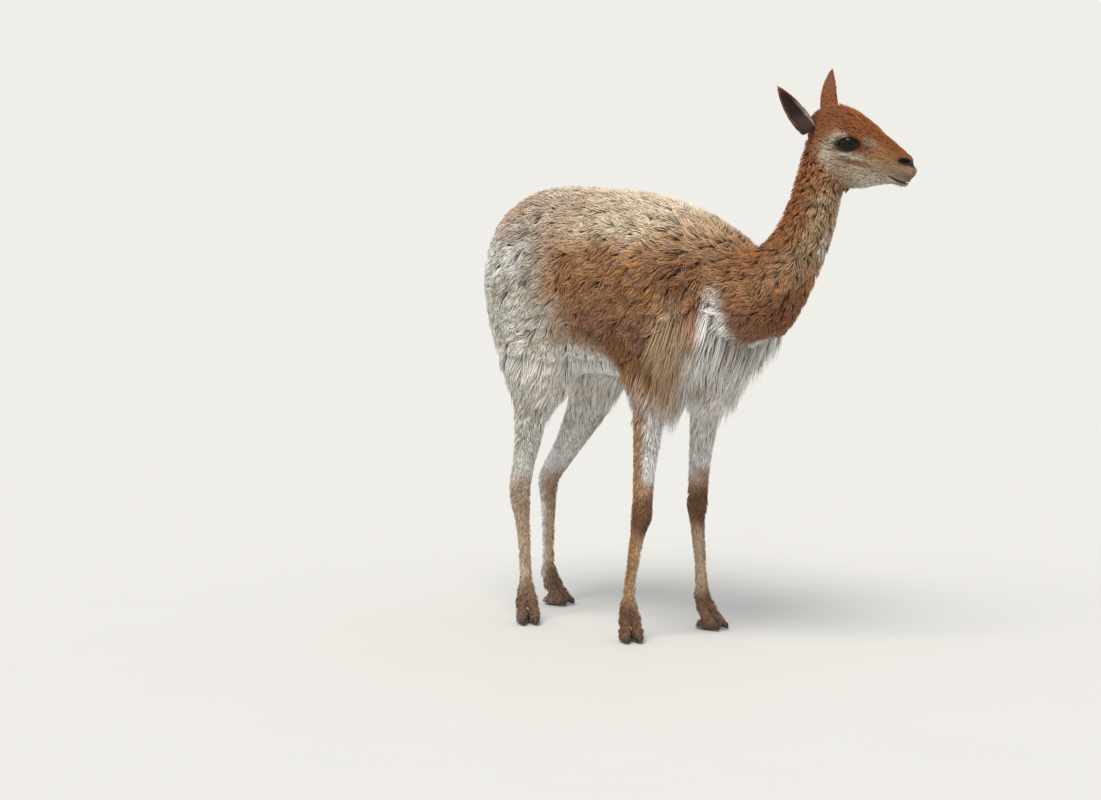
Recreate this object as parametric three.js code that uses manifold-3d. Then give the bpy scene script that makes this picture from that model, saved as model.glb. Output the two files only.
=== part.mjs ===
// A young adult vicuna, life size, standing with its head up and turned a little to its left.
// Millimetres. +X is the way the body faces, +Y is its left and +Z is up. The floor is z = 0.
// The body is a set of soft forms: eggs and round cones blended together. Each sub-part is a
// closed tube of rings, whose points are sent out from a centre line to the surface of its forms.
import * as THREE from "three";
import { mergeVertices } from "three/addons/utils/BufferGeometryUtils.js";
import Module from "manifold-3d";

const wasm = await Module();
wasm.setup();

// Driving sizes
const GAP = 0.3; // between two sub-parts that meet
const TRUNK_HEIGHT = 668; // centre of the barrel above the floor
const BARREL = { length: 570, width: 320, depth: 342 };
const KNEE_HEIGHT = 238;
const FETLOCK_HEIGHT = 64;
const HEAD_PLACE = new THREE.Vector3(469, 62, 957);
const HEAD_TURN = { left: 32, down: 15 }; // degrees from the body's heading
const EYE = { x: 43, y: 23, z: 7, radius: 21, lid: 2.4, width: 42, height: 29, slant: 20 };
const EAR = { radius: 17.5, thickness: 3, rim: 0.45, spread: 98, depth: 0.8, bow: 8, tip: 1.6 };
const EAR_RINGS = 9;
const EAR_SIDES = 7;

const MIRRORED = [1, -1];
const radians = THREE.MathUtils.degToRad;
const vec = (x, y, z) => new THREE.Vector3(x, y, z);

// Soft forms. Each is a function of a point that is negative inside, zero on the surface and
// grows with the distance outside.
function blend(a, b, width) {
  const h = THREE.MathUtils.clamp(0.5 + (0.5 * (b - a)) / width, 0, 1);
  return b + (a - b) * h - width * h * (1 - h);
}

function egg(at, radii, pitch = 0) {
  const c = Math.cos(radians(pitch));
  const s = Math.sin(radians(pitch));
  return (p) => {
    const dx = p.x - at[0];
    const dz = p.z - at[2];
    const x = dx * c - dz * s;
    const y = p.y - at[1];
    const z = dx * s + dz * c;
    const near = Math.hypot(x / radii[0], y / radii[1], z / radii[2]);
    const steep = Math.hypot(x / radii[0] ** 2, y / radii[1] ** 2, z / radii[2] ** 2);
    return (near * (near - 1)) / Math.max(steep, 1e-9);
  };
}

function cone(a, b) {
  const from = vec(a[0], a[1], a[2]);
  const span = vec(b[0], b[1], b[2]).sub(from);
  const square = span.lengthSq();
  const q = new THREE.Vector3();
  return (p) => {
    q.copy(p).sub(from);
    const t = THREE.MathUtils.clamp(q.dot(span) / square, 0, 1);
    return q.addScaledVector(span, -t).length() - THREE.MathUtils.lerp(a[3], b[3], t);
  };
}

// Points [x, y, z, radius] with `steps` more between each two, on a smooth curve through them.
function smooth(points, steps) {
  const at = (i) => points[THREE.MathUtils.clamp(i, 0, points.length - 1)];
  const out = [];
  for (let i = 0; i < points.length - 1; i++) {
    for (let j = 0; j < steps; j++) {
      const t = j / steps;
      out.push(at(i).map((b, k) => {
        const [a, c, d] = [at(i - 1)[k], at(i + 1)[k], at(i + 2)[k]];
        return 0.5 * (2 * b + (c - a) * t + (2 * a - 5 * b + 4 * c - d) * t ** 2
          + (3 * b - a - 3 * c + d) * t ** 3);
      }));
    }
  }
  out.push(at(points.length - 1));
  return out;
}

function cones(points, width = 0) {
  const parts = points.slice(1).map((b, i) => cone(points[i], b));
  return (p) => parts.reduce((d, part) => {
    const e = part(p);
    return width > 0 && d < 1e8 ? blend(d, e, width) : Math.min(d, e);
  }, 1e9);
}

// Forms joined one after the other: [form, blend width]. `pair` forms stand on both sides of y = 0.
function joined(forms) {
  return (p) => {
    const folded = vec(p.x, Math.abs(p.y), p.z);
    return forms.reduce((d, [form, width, pair]) => blend(d, form(pair ? folded : p), width), 1e6);
  };
}

// Trunk and neck
const trunkForm = joined([
  [egg([-10, 0, TRUNK_HEIGHT + 4], [BARREL.length / 2, BARREL.width / 2, BARREL.depth / 2]), 1],
  [egg([-168, 0, TRUNK_HEIGHT + 18], [158, 142, 150]), 50],
  [egg([150, 0, TRUNK_HEIGHT - 16], [182, 134, 154]), 50],
  [egg([-172, 72, 575], [100, 70, 150], -12), 50, true],
  [egg([150, 75, 582], [75, 58, 140]), 50, true],
  [egg([262, 0, 596], [72, 74, 118]), 50],
]);
const NECK = smooth([
  [245, 0, 652, 118], [300, 1, 650, 102], [355, 5, 672, 80], [405, 12, 716, 61], [440, 22, 772, 51],
  [457, 37, 835, 46], [462, 50, 893, 43], [465, 58, 935, 39], [467, 61, 958, 31],
], 3);
const neckForm = cones(NECK);
const bodyForm = (p) => blend(trunkForm(p), neckForm(p), 40);

// Legs: points [x, y, z, radius] from the body down to the fetlock, and the foot's place and turn.
const LEGS = {
  fore_right: {
    line: [[158, -80, 530, 43], [154, -87, 430, 30], [147, -91, 340, 23], [142, -92, 268, 20.5],
      [139, -92, KNEE_HEIGHT, 21.5], [131, -94, 205, 15.5], [115, -97, 115, 12.5], [112, -99, 66, 15]],
    foot: [114, -100, -33],
  },
  fore_left: {
    line: [[148, 80, 530, 43], [132, 86, 430, 30], [116, 88, 340, 23], [108, 89, 262, 20.5],
      [107, 89, KNEE_HEIGHT, 21.5], [107, 90, 205, 15.5], [112, 94, 115, 12.5], [114, 95, 66, 15]],
    foot: [118, 96, 5],
  },
  hind_right: {
    line: [[-165, -82, 530, 54], [-163, -93, 440, 37], [-172, -98, 350, 26], [-188, -101, 275, 22],
      [-188, -102, KNEE_HEIGHT, 21], [-180, -103, 195, 15.5], [-170, -105, 110, 13], [-167, -107, 66, 15]],
    foot: [-164, -108, -35],
  },
  hind_left: {
    line: [[-146, 78, 510, 56], [-180, 80, 420, 43], [-238, 77, 330, 28], [-290, 74, 262, 22.5],
      [-296, 73, KNEE_HEIGHT, 21], [-295, 72, 190, 15.5], [-293, 70, 110, 13], [-291, 70, 66, 15]],
    foot: [-286, 69, 8],
  },
};

const TOE = [[-3, 4, 62, 14], [6, 10, 42, 12.5], [22, 12.5, 20, 12], [38, 13, 12, 10]];
const toeForm = joined([
  [cones(TOE, 6), 1, true],
  [egg([16, 12, 8], [26, 11.5, 11]), 6, true],
  [egg([1, 0, 8], [14, 15, 15]), 6],
]);

function inFrame(form, x, y, turn) {
  const c = Math.cos(radians(turn));
  const s = Math.sin(radians(turn));
  return (p) => form(vec((p.x - x) * c + (p.y - y) * s, (p.y - y) * c - (p.x - x) * s, p.z));
}

function legForm(leg) {
  const bone = cones(smooth(leg.line, 3));
  const foot = inFrame(toeForm, ...leg.foot);
  return (p) => blend(bone(p), foot(p), 10);
}

// Tail: a flat brush that hangs close behind the rump
const TAIL = smooth([
  [-296, 0, 742, 26], [-322, 0, 700, 29], [-336, 0, 640, 30], [-338, 0, 560, 24], [-332, 0, 500, 10],
], 3);
const TAIL_BREADTH = 1.35;
const tailBrush = cones(TAIL);
const tailForm = (p) => tailBrush(vec(p.x, p.y / TAIL_BREADTH, p.z));

// Head, in its own frame: x to the nose, y to the left, z to the crown
const headBase = joined([
  [egg([14, 0, 22], [56, 41, 50]), 1],
  [egg([46, 0, 24], [42, 39, 40]), 15],
  [egg([52, 31, 27], [30, 11, 9]), 12, true],
  [egg([45, 22, -38], [45, 24, 36]), 12, true],
]);
const HEAD_BREADTH = 0.86; // of the muzzle and jaw, against their depth
const muzzle = cones([[78, 0, 18, 28], [108, 0, 10, 25], [132, 0, 4, 20], [147, 0, 0, 16]]);
const jaw = cones([[30, 0, -30, 45], [75, 0, -30, 38], [118, 0, -22, 27], [148, 0, -20, 19]]);
const noseEnd = joined([
  [egg([146, 0, 2], [13, 17.5, 11]), 8],
  [egg([155, 0, -13], [19, 18.5, 12.5]), 7],
  [egg([151, 0, -34], [15, 14, 9.5]), 6],
]);
const headForm = (p) => {
  const narrow = vec(p.x, p.y / HEAD_BREADTH, p.z);
  const long = blend(blend(headBase(p), muzzle(narrow), 18), jaw(narrow), 18);
  return blend(long, noseEnd(p), 7);
};

// Rings and the tubes made of them. A ring has an origin, the way the tube runs and a side way;
// `lean` tips its rays along the tube, which rounds off an end.
function castRing(form, { origin, along, side, lean = 0 }, sides, grow, far) {
  const up = along.clone().cross(side);
  return Array.from({ length: sides }, (_, i) => {
    const turn = (i / sides) * 2 * Math.PI;
    const ray = side.clone().multiplyScalar(Math.cos(turn)).addScaledVector(up, Math.sin(turn));
    ray.multiplyScalar(Math.cos(lean)).addScaledVector(along, Math.sin(lean));
    return rayEnd(form, origin, ray, far, grow);
  });
}

function rayEnd(form, origin, ray, far, grow) {
  const at = (s) => origin.clone().addScaledVector(ray, s);
  const step = far / 64;
  let outer = far;
  while (outer > step && form(at(outer - step)) > 0) outer -= step;
  let inner = outer - step;
  for (let i = 0; i < 16; i++) {
    const middle = (inner + outer) / 2;
    if (form(at(middle)) > 0) outer = middle;
    else inner = middle;
  }
  return at(inner + grow);
}

// A closed solid of rings of points, each closed end a fan round its pole.
function ringSolid(rings, startPole, endPole) {
  const sides = rings[0].length;
  const points = [...rings.flat(), startPole, endPole];
  const position = new Float32Array(points.flatMap((p) => [p.x, p.y, p.z]));
  const index = [];
  const start = rings.length * sides;
  for (let j = 0; j < sides; j++) {
    const k = (j + 1) % sides;
    for (let i = 0; i < rings.length - 1; i++) {
      const [a, b] = [i * sides + j, i * sides + k];
      const [d, c] = [a + sides, b + sides];
      index.push(a, b, c, a, c, d);
    }
    index.push(start, k, j);
    index.push(start + 1, start - sides + j, start - sides + k);
  }
  const geometry = new THREE.BufferGeometry();
  geometry.setAttribute("position", new THREE.BufferAttribute(position, 3));
  geometry.setIndex(index);
  return geometry;
}

function centreOf(points) {
  return points.reduce((sum, p) => sum.add(p), vec(0, 0, 0)).divideScalar(points.length);
}

// A tube of the form along stations; a dome closes an end that isn't cut flat.
function tube(form, stations, { sides, far, grow = 0, startDome = 0, endDome = 0 }) {
  const first = stations[0];
  const last = stations[stations.length - 1];
  const domed = [];
  for (let i = startDome; i > 0; i--) {
    domed.push({ ...first, lean: -(i / (startDome + 1)) * (Math.PI / 2) });
  }
  domed.push(...stations);
  for (let i = 1; i <= endDome; i++) {
    domed.push({ ...last, lean: (i / (endDome + 1)) * (Math.PI / 2) });
  }
  const rings = domed.map((station) => castRing(form, station, sides, grow, far));
  const back = first.along.clone().negate();
  const startPole = startDome ? rayEnd(form, first.origin, back, far, grow) : centreOf(rings[0]);
  const endPole = endDome
    ? rayEnd(form, last.origin, last.along, far, grow)
    : centreOf(rings[rings.length - 1]);
  return ringSolid(rings, startPole, endPole);
}

// Joining and cutting
function solidOf(geometry) {
  const bare = new THREE.BufferGeometry().setAttribute("position", geometry.getAttribute("position"));
  if (geometry.index) bare.setIndex(geometry.index);
  const merged = mergeVertices(bare, 1e-3);
  return new wasm.Manifold(new wasm.Mesh({
    numProp: 3,
    vertProperties: new Float32Array(merged.attributes.position.array),
    triVerts: new Uint32Array(merged.index.array),
  }));
}

function geometryOf(solid) {
  const largest = solid.decompose().reduce((a, b) => (b.volume() > a.volume() ? b : a));
  const mesh = largest.getMesh();
  const geometry = new THREE.BufferGeometry();
  geometry.setAttribute("position", new THREE.BufferAttribute(mesh.vertProperties, 3));
  geometry.setIndex(new THREE.BufferAttribute(mesh.triVerts, 1));
  return geometry;
}

// Materials, one for each kind of surface
const coat = (color) => () => new THREE.MeshStandardMaterial({ color, roughness: 0.95, metalness: 0 });
const MATERIALS = {
  saddle: coat("#a9764b"),
  rump: coat("#b9a48c"),
  chest: coat("#d9c4a5"),
  neck: coat("#a8693c"),
  head: coat("#a5704a"),
  leg: coat("#b98d66"),
  foot: coat("#8a5a3c"),
  ear: coat("#7d5238"),
  claw: () => new THREE.MeshStandardMaterial({ color: "#3b322c", roughness: 0.6, metalness: 0 }),
  eye: () => new THREE.MeshStandardMaterial({ color: "#15100d", roughness: 0.08, metalness: 0 }),
};

function mesh(name, geometry, kind) {
  const made = new THREE.Mesh(geometry, MATERIALS[kind]());
  made.name = name;
  return made;
}

// Stations of the trunk and neck, from the rump to inside the head
const spine = new THREE.CatmullRomCurve3([
  vec(-205, 0, TRUNK_HEIGHT), vec(-60, 0, TRUNK_HEIGHT), vec(90, 0, TRUNK_HEIGHT - 8),
  vec(215, 0, TRUNK_HEIGHT - 14), vec(318, 2, 664), vec(392, 10, 712), vec(436, 23, 782),
  vec(454, 40, 846), vec(461, 53, 903), vec(465, 60, 950),
]);
const BODY_SIDES = 24;
const BODY_FAR = 300;
const LEFT = vec(0, 1, 0);
const DOWN = vec(0, 0, -1);
const FALL = vec(-0.25, 0, -1).normalize(); // the way that long locks hang

function spineStation(t, shift = 0) {
  const along = spine.getTangentAt(t);
  const side = LEFT.clone().addScaledVector(along, -LEFT.dot(along)).normalize();
  return { origin: spine.getPointAt(t).addScaledVector(along, shift), along, side };
}

// Shares of the spine's length where the body is parted, and the steps between them
const SPLITS = [0, 0.5, 0.66, 1];
const STEPS = [18, 7, 12];
function spineStations(piece) {
  const [from, to] = [SPLITS[piece], SPLITS[piece + 1]];
  const cutEnd = piece < STEPS.length - 1;
  return Array.from({ length: STEPS[piece] + 1 }, (_, i) => {
    const shift = (i === 0 && piece > 0 ? GAP / 2 : 0) - (i === STEPS[piece] && cutEnd ? GAP / 2 : 0);
    return spineStation(THREE.MathUtils.lerp(from, to, i / STEPS[piece]), shift);
  });
}

// Where locks stand on the body, its core lies this far inside the coat's outline.
const CORE = { fleece: 9, bib: 26, bibAt: vec(292, 0, 560), bibReach: 135, neckFrom: 260, neckTo: 345 };
function coreDepth(p) {
  const bib = 1 - THREE.MathUtils.smoothstep(p.distanceTo(CORE.bibAt), CORE.bibReach * 0.45, CORE.bibReach);
  const fleece = 1 - THREE.MathUtils.smoothstep(p.x, CORE.neckFrom, CORE.neckTo);
  return Math.max(CORE.bib * bib, CORE.fleece * fleece);
}
const coreForm = (p) => bodyForm(p) + coreDepth(p);

const bodyTube = (stations, options) =>
  tube(coreForm, stations, { sides: BODY_SIDES, far: BODY_FAR, ...options });
const RUMP_DOME = 7;
const NECK_DOME = 2;
const [torsoCore, chestCore, neckCore] = [
  bodyTube(spineStations(0), { startDome: RUMP_DOME }),
  bodyTube(spineStations(1)),
  bodyTube(spineStations(2), { endDome: NECK_DOME }),
];
const grownBody = solidOf(bodyTube(STEPS.flatMap((_, piece) => spineStations(piece)),
  { startDome: RUMP_DOME, endDome: NECK_DOME, grow: GAP }));

// Stations of a leg at level heights, and of the foot below it
function levelStation(x, y, z) {
  return { origin: vec(x, y, z), along: vec(0, 0, -1), side: vec(1, 0, 0) };
}

function lineAt(line, z) {
  let i = 1;
  while (i < line.length - 1 && line[i][2] > z) i++;
  const [a, b] = [line[i - 1], line[i]];
  const t = THREE.MathUtils.clamp((a[2] - z) / (a[2] - b[2]), 0, 1);
  return [THREE.MathUtils.lerp(a[0], b[0], t), THREE.MathUtils.lerp(a[1], b[1], t)];
}

const LEG_SIDES = 12;
const FOOT_SIDES = 18;
const LEG_TOP = 505;
const LEG_FAR = 110; // from a leg's middle to well outside it
const SOLE_FORWARD = 4; // how far the middle of the pad is in front of the fetlock
const FOOT_SHARES = [1, 0.82, 0.66, 0.5, 0.37, 0.26, 0.15, 0.06, 0]; // heights of its rings, against its top
function legStations(leg, from, to, count) {
  const line = smooth(leg.line, 3);
  return Array.from({ length: count + 1 }, (_, i) => {
    const z = THREE.MathUtils.lerp(from, to, i / count);
    return levelStation(...lineAt(line, z), z);
  });
}

function footStations(leg) {
  const [x, y, turn] = leg.foot;
  const top = FETLOCK_HEIGHT - GAP / 2;
  return FOOT_SHARES.map((share) => {
    const forward = SOLE_FORWARD * (1 - share);
    const [cx, cy] = share === 1 ? lineAt(leg.line, top) : [x, y];
    return levelStation(cx + forward * Math.cos(radians(turn)), cy + forward * Math.sin(radians(turn)),
      top * share);
  });
}

// Toenails: a dark curved wedge on each toe, clear of the floor
const NAIL = { length: 15, breadth: 7.5, height: 6.5, x: 45, y: 13, z: 9.5, down: 24 };
const NAIL_SIDES = 8;
const NAIL_RINGS = 5;
function nailGeometry(leg, side, grow) {
  const [x, y, turn] = leg.foot;
  return new THREE.SphereGeometry(1, NAIL_SIDES, NAIL_RINGS)
    .scale(NAIL.length / 2 + grow, NAIL.breadth + grow, NAIL.height + grow)
    .rotateY(radians(NAIL.down))
    .translate(NAIL.x, side * NAIL.y, NAIL.z)
    .rotateZ(radians(turn))
    .translate(x, y, 0);
}

const UPPER_STEPS = 9;
const CANNON_STEPS = 6;
const vicuna = new THREE.Group();
const grownLegs = [];
for (const [name, leg] of Object.entries(LEGS)) {
  const form = legForm(leg);
  const legTube = (stations, sides, options) => tube(form, stations, { sides, far: LEG_FAR, ...options });
  const upperStations = legStations(leg, LEG_TOP, KNEE_HEIGHT + GAP / 2, UPPER_STEPS);
  const upper = solidOf(legTube(upperStations, LEG_SIDES, { startDome: 2 }));
  grownLegs.push(solidOf(legTube(upperStations, LEG_SIDES, { startDome: 2, grow: GAP })));
  vicuna.add(mesh(`${name}_upper`, geometryOf(upper.subtract(grownBody)), "leg"));
  const cannon = legStations(leg, KNEE_HEIGHT - GAP / 2, FETLOCK_HEIGHT + GAP / 2, CANNON_STEPS);
  vicuna.add(mesh(`${name}_cannon`, legTube(cannon, LEG_SIDES), "leg"));
  let foot = solidOf(legTube(footStations(leg), FOOT_SIDES));
  for (const side of MIRRORED) {
    foot = foot.subtract(solidOf(nailGeometry(leg, side, GAP)));
    const place = side > 0 ? "left" : "right";
    vicuna.add(mesh(`${name}_nail_${place}`, nailGeometry(leg, side, 0), "claw"));
  }
  vicuna.add(mesh(`${name}_foot`, geometryOf(foot), "foot"));
}

// Locks. Each is a flat wedge with a ridge, broad near its root and fine at its tip. Its line starts
// inside the core and comes out to the coat's outline; `hang` lets it fall clear of the body.
const LOCK_STEPS = 4;
const RIDGE = 0.62; // height of the ridge over a lock's middle, as a share of its thickness
const SIDE_GROWTH = 1.5; // a wedge's slanting sides and its fine tip move out by more than the gap
const TIP_GROWTH = 4;
const SCATTER = { place: 0.3, angle: 6, size: 0.15, tip: 2, bend: 14 }; // how much locks differ
const ROOT_DEPTH = 0.8; // how far a root goes into the core, as a share of the lock's thickness
let seed = 7;
function chance() {
  seed = (seed * 16807) % 2147483647;
  return seed / 2147483647;
}
const vary = (share) => 1 + share * (2 * chance() - 1);

function slope(form, p) {
  const at = (x, y, z) => form(vec(p.x + x, p.y + y, p.z + z));
  const steep = [at(1, 0, 0) - at(-1, 0, 0), at(0, 1, 0) - at(0, -1, 0), at(0, 0, 1) - at(0, 0, -1)];
  return vec(...steep).normalize();
}

function settle(form, p, level) {
  for (let i = 0; i < 3; i++) p.addScaledVector(slope(form, p), level - form(p));
  return p;
}

// The middle line of a lock from `root`, with the way out at each of its points.
function lockLine(form, root, lie, { length, sunk, tipLevel, hang = 0, bend = 0 }) {
  const line = [];
  const across = slope(form, root).cross(lie).normalize();
  for (let i = 0; i <= LOCK_STEPS; i++) {
    const share = i / LOCK_STEPS;
    const level = THREE.MathUtils.lerp(-sunk, tipLevel, Math.sin((share * Math.PI) / 2));
    const p = root.clone().addScaledVector(lie, length * share)
      .addScaledVector(across, bend * Math.sin(share * Math.PI));
    const close = settle(form, p, level);
    const before = line[line.length - 1];
    const free = before ? before.p.clone().addScaledVector(FALL, length / LOCK_STEPS) : close;
    const falling = hang * THREE.MathUtils.smoothstep(share, 0.2, 0.7);
    const placed = close.clone().lerp(free, falling);
    line.push({ p: placed, out: slope(form, placed) });
  }
  return line;
}

function lockGeometry(line, width, thickness, grow = 0) {
  const profile = (share) => Math.sqrt(1 - share ** 1.6) * (0.7 + 0.3 * Math.sin(share * Math.PI));
  const rings = line.slice(0, -1).map(({ p, out }, i) => {
    const along = line[i + 1].p.clone().sub(p).normalize();
    const side = out.clone().cross(along).normalize();
    const rise = along.clone().cross(side);
    const share = i / LOCK_STEPS;
    const half = (width / 2) * profile(share) + SIDE_GROWTH * grow;
    const high = thickness * profile(share) + SIDE_GROWTH * grow;
    return [
      p.clone().addScaledVector(side, half).addScaledVector(rise, -high * (1 - RIDGE)),
      p.clone().addScaledVector(rise, high * RIDGE),
      p.clone().addScaledVector(side, -half).addScaledVector(rise, -high * (1 - RIDGE)),
    ];
  });
  const tip = line[LOCK_STEPS].p.clone();
  tip.add(tip.clone().sub(line[LOCK_STEPS - 1].p).normalize().multiplyScalar(TIP_GROWTH * grow));
  return ringSolid(rings, centreOf(rings[0]), tip);
}

// The lie of the coat at a point: back along the top of the trunk, down and back on its sides,
// down on the rump and the chest.
function trunkLie(p) {
  const normal = slope(bodyForm, p);
  const top = THREE.MathUtils.smoothstep(normal.z, 0.3, 0.95);
  const chest = THREE.MathUtils.smoothstep(p.x, 200, 300);
  const back = THREE.MathUtils.lerp(THREE.MathUtils.lerp(-0.62, -1, top), -0.2, chest);
  const lie = vec(back, Math.sign(p.y) * 0.3 * top, THREE.MathUtils.lerp(-0.8, 0, top));
  return lie.addScaledVector(normal, -lie.dot(normal)).normalize();
}

function tailLie(p) {
  const normal = slope(tailForm, p);
  return DOWN.clone().addScaledVector(normal, -DOWN.dot(normal)).normalize();
}

const TAIL_ENDS = { top: TAIL[0][2] - 7, low: TAIL[TAIL.length - 1][2] + 5 };
function tailStation(share) {
  const z = THREE.MathUtils.lerp(TAIL_ENDS.top, TAIL_ENDS.low, share);
  return { origin: vec(lineAt(TAIL, z)[0], 0, z), along: DOWN.clone(), side: LEFT.clone() };
}

// Patches of locks on both sides: shares along the node's middle line, angles round it from the
// left side (90 is up on the trunk), rows and columns, and the sizes of a lock.
const COATS = {
  torso: {
    seed: 11, form: bodyForm, core: coreForm, station: spineStation, lie: trunkLie,
    patches: [
      {
        shares: [0, 0.49], angles: [-24, 88], rows: 6, columns: 5,
        length: 122, width: 72, thickness: 14, tip: 3,
      },
      {
        shares: [0.1, 0.49], angles: [-62, -34], rows: 7, columns: 1,
        length: 118, width: 56, thickness: 13, hang: 0.4, tip: 4,
      },
    ],
  },
  chest: {
    seed: 23, form: bodyForm, core: coreForm, station: spineStation, lie: trunkLie,
    patches: [
      {
        shares: [0.52, 0.62], angles: [2, 86], rows: 1, columns: 3,
        length: 104, width: 66, thickness: 13, tip: 3,
      },
      {
        shares: [0.51, 0.65], angles: [-88, -22], rows: 4, columns: 4,
        length: 136, width: 44, thickness: 12, hang: 0.5, tip: 18,
      },
    ],
  },
  tail: {
    seed: 31, form: tailForm, core: tailForm, station: tailStation, lie: tailLie,
    patches: [
      {
        shares: [0.15, 0.85], angles: [-88, -20], rows: 3, columns: 1,
        length: 92, width: 36, thickness: 9, tip: 3,
      },
    ],
  },
};
const LOCK_FAR = 300;

function patchLocks(coat, patch, grow) {
  const made = [];
  for (let i = 0; i < patch.rows; i++) {
    for (let j = 0; j < patch.columns; j++) {
      for (const side of MIRRORED) {
        const offset = (j % 2) / 2;
        const place = (i + offset + SCATTER.place * chance()) / patch.rows;
        const middle = THREE.MathUtils.lerp(...patch.angles, (j + 0.5) / patch.columns);
        const angle = middle + SCATTER.angle * chance();
        const turn = radians(side > 0 ? angle : 180 - angle);
        const station = coat.station(THREE.MathUtils.lerp(...patch.shares, Math.min(place, 1)));
        const up = station.along.clone().cross(station.side);
        const ray = station.side.clone().multiplyScalar(Math.cos(turn)).addScaledVector(up, Math.sin(turn));
        const root = rayEnd(coat.core, station.origin, ray, LOCK_FAR, 0);
        const line = lockLine(coat.form, root, coat.lie(root), {
          length: patch.length * vary(SCATTER.size),
          sunk: patch.thickness * ROOT_DEPTH - coat.form(root),
          tipLevel: patch.tip + SCATTER.tip * chance(),
          hang: patch.hang,
          bend: SCATTER.bend * (2 * chance() - 1),
        });
        const width = patch.width * vary(SCATTER.size);
        made.push(solidOf(lockGeometry(line, width, patch.thickness, grow)));
      }
    }
  }
  return made;
}

// All the locks of a node in one solid; the same seed gives the same locks, grown or not.
function locksOf(name, grow = 0) {
  const coat = COATS[name];
  seed = coat.seed;
  return coat.patches.flatMap((patch) => patchLocks(coat, patch, grow)).reduce((a, b) => a.add(b));
}

// Each node's locks are cut clear of the legs and of the nodes beside it, and fused to its core.
const TAIL_TUBE = { steps: 5, sides: 10, far: 90 };
const tailTube = (grow) => {
  const stations = Array.from({ length: TAIL_TUBE.steps + 1 }, (_, i) => tailStation(i / TAIL_TUBE.steps));
  const { sides, far } = TAIL_TUBE;
  return solidOf(tube(tailForm, stations, { sides, far, grow, startDome: 2, endDome: 1 }));
};
const allLegs = grownLegs.reduce((a, b) => a.add(b));
const cutter = (pieces, options) =>
  solidOf(bodyTube(pieces.flatMap((piece) => spineStations(piece)), { grow: GAP, ...options }));
const grownTail = tailTube(GAP).add(locksOf("tail", GAP));
const torsoLocks = locksOf("torso").subtract(allLegs).subtract(grownTail)
  .subtract(cutter([1, 2], { endDome: NECK_DOME }));
const grownTorsoLocks = locksOf("torso", GAP);
const chestLocks = locksOf("chest").subtract(allLegs).subtract(grownTorsoLocks)
  .subtract(cutter([0], { startDome: RUMP_DOME })).subtract(cutter([2], { endDome: NECK_DOME }));
const torsoSolid = solidOf(torsoCore).add(torsoLocks);
const chestSolid = solidOf(chestCore).subtract(grownTorsoLocks).add(chestLocks);
const tailSolid = tailTube(0).add(locksOf("tail")).subtract(grownBody);
vicuna.add(
  mesh("torso", geometryOf(torsoSolid), "saddle"),
  mesh("chest", geometryOf(chestSolid), "chest"),
  mesh("tail", geometryOf(tailSolid), "rump"),
);

// Head pieces, in the head's own frame
const headGroup = new THREE.Group();
headGroup.position.copy(HEAD_PLACE);
headGroup.rotation.set(0, radians(HEAD_TURN.down), radians(HEAD_TURN.left), "ZYX");
headGroup.updateMatrixWorld(true);
vicuna.add(headGroup);

// The middle line of the head, from between the ears to behind the lips
const HEAD_LINE = { to: 152, high: 6, low: -14, fallFrom: 20, fallTo: 150, steps: 18 };
function headStations() {
  const { to, high, low, fallFrom, fallTo, steps } = HEAD_LINE;
  return Array.from({ length: steps + 1 }, (_, i) => {
    const x = (to * i) / steps;
    const z = THREE.MathUtils.lerp(high, low, THREE.MathUtils.smoothstep(x, fallFrom, fallTo));
    return { origin: vec(x, 0, z), along: vec(1, 0, 0), side: vec(0, 1, 0) };
  });
}
const headTube = (grow) =>
  tube(headForm, headStations(), { sides: 26, far: 120, grow, startDome: 5, endDome: 4 });
const headSolid = solidOf(headTube(0));
const grownHead = headTube(GAP);

// Eyes: balls in sockets, under lids with an almond opening
function almond(width, height) {
  const shape = new THREE.Shape();
  shape.moveTo(-width / 2, 0);
  const [x, y] = [width * 0.3, height * 0.66]; // handles that make the curve `height` high
  shape.bezierCurveTo(-x, y, x, y, width / 2, 0);
  shape.bezierCurveTo(x, -y, -x, -y, -width / 2, 0);
  return shape;
}

function eyeBall(side, radius) {
  return new THREE.SphereGeometry(radius, 12, 8).rotateX(Math.PI / 2).translate(EYE.x, side * EYE.y, EYE.z);
}

function eyeOpening(side) {
  const cut = new THREE.ExtrudeGeometry(almond(EYE.width, EYE.height),
    { depth: EYE.radius * 2, bevelEnabled: false, curveSegments: 6 });
  return cut.rotateX(Math.PI / 2).scale(1, -side, 1).rotateY(radians(-EYE.slant))
    .translate(EYE.x, side * EYE.y, EYE.z);
}

// Turns the triangles of a mirrored geometry back, so that they face out.
function facingOut(geometry) {
  const flat = geometry.index ? geometry.toNonIndexed() : geometry.clone();
  const solid = flat.attributes.position.array;
  for (let i = 0; i < solid.length; i += 9) {
    for (let k = 0; k < 3; k++) {
      [solid[i + 3 + k], solid[i + 6 + k]] = [solid[i + 6 + k], solid[i + 3 + k]];
    }
  }
  return flat;
}

let head = headSolid;
for (const side of MIRRORED) {
  head = head.add(solidOf(eyeBall(side, EYE.radius + EYE.lid)));
}
for (const side of MIRRORED) {
  const opening = side > 0 ? facingOut(eyeOpening(side)) : eyeOpening(side);
  head = head.subtract(solidOf(eyeBall(side, EYE.radius + GAP))).subtract(solidOf(opening));
  headGroup.add(mesh(side > 0 ? "eye_left" : "eye_right", eyeBall(side, EYE.radius), "eye"));
}

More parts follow.
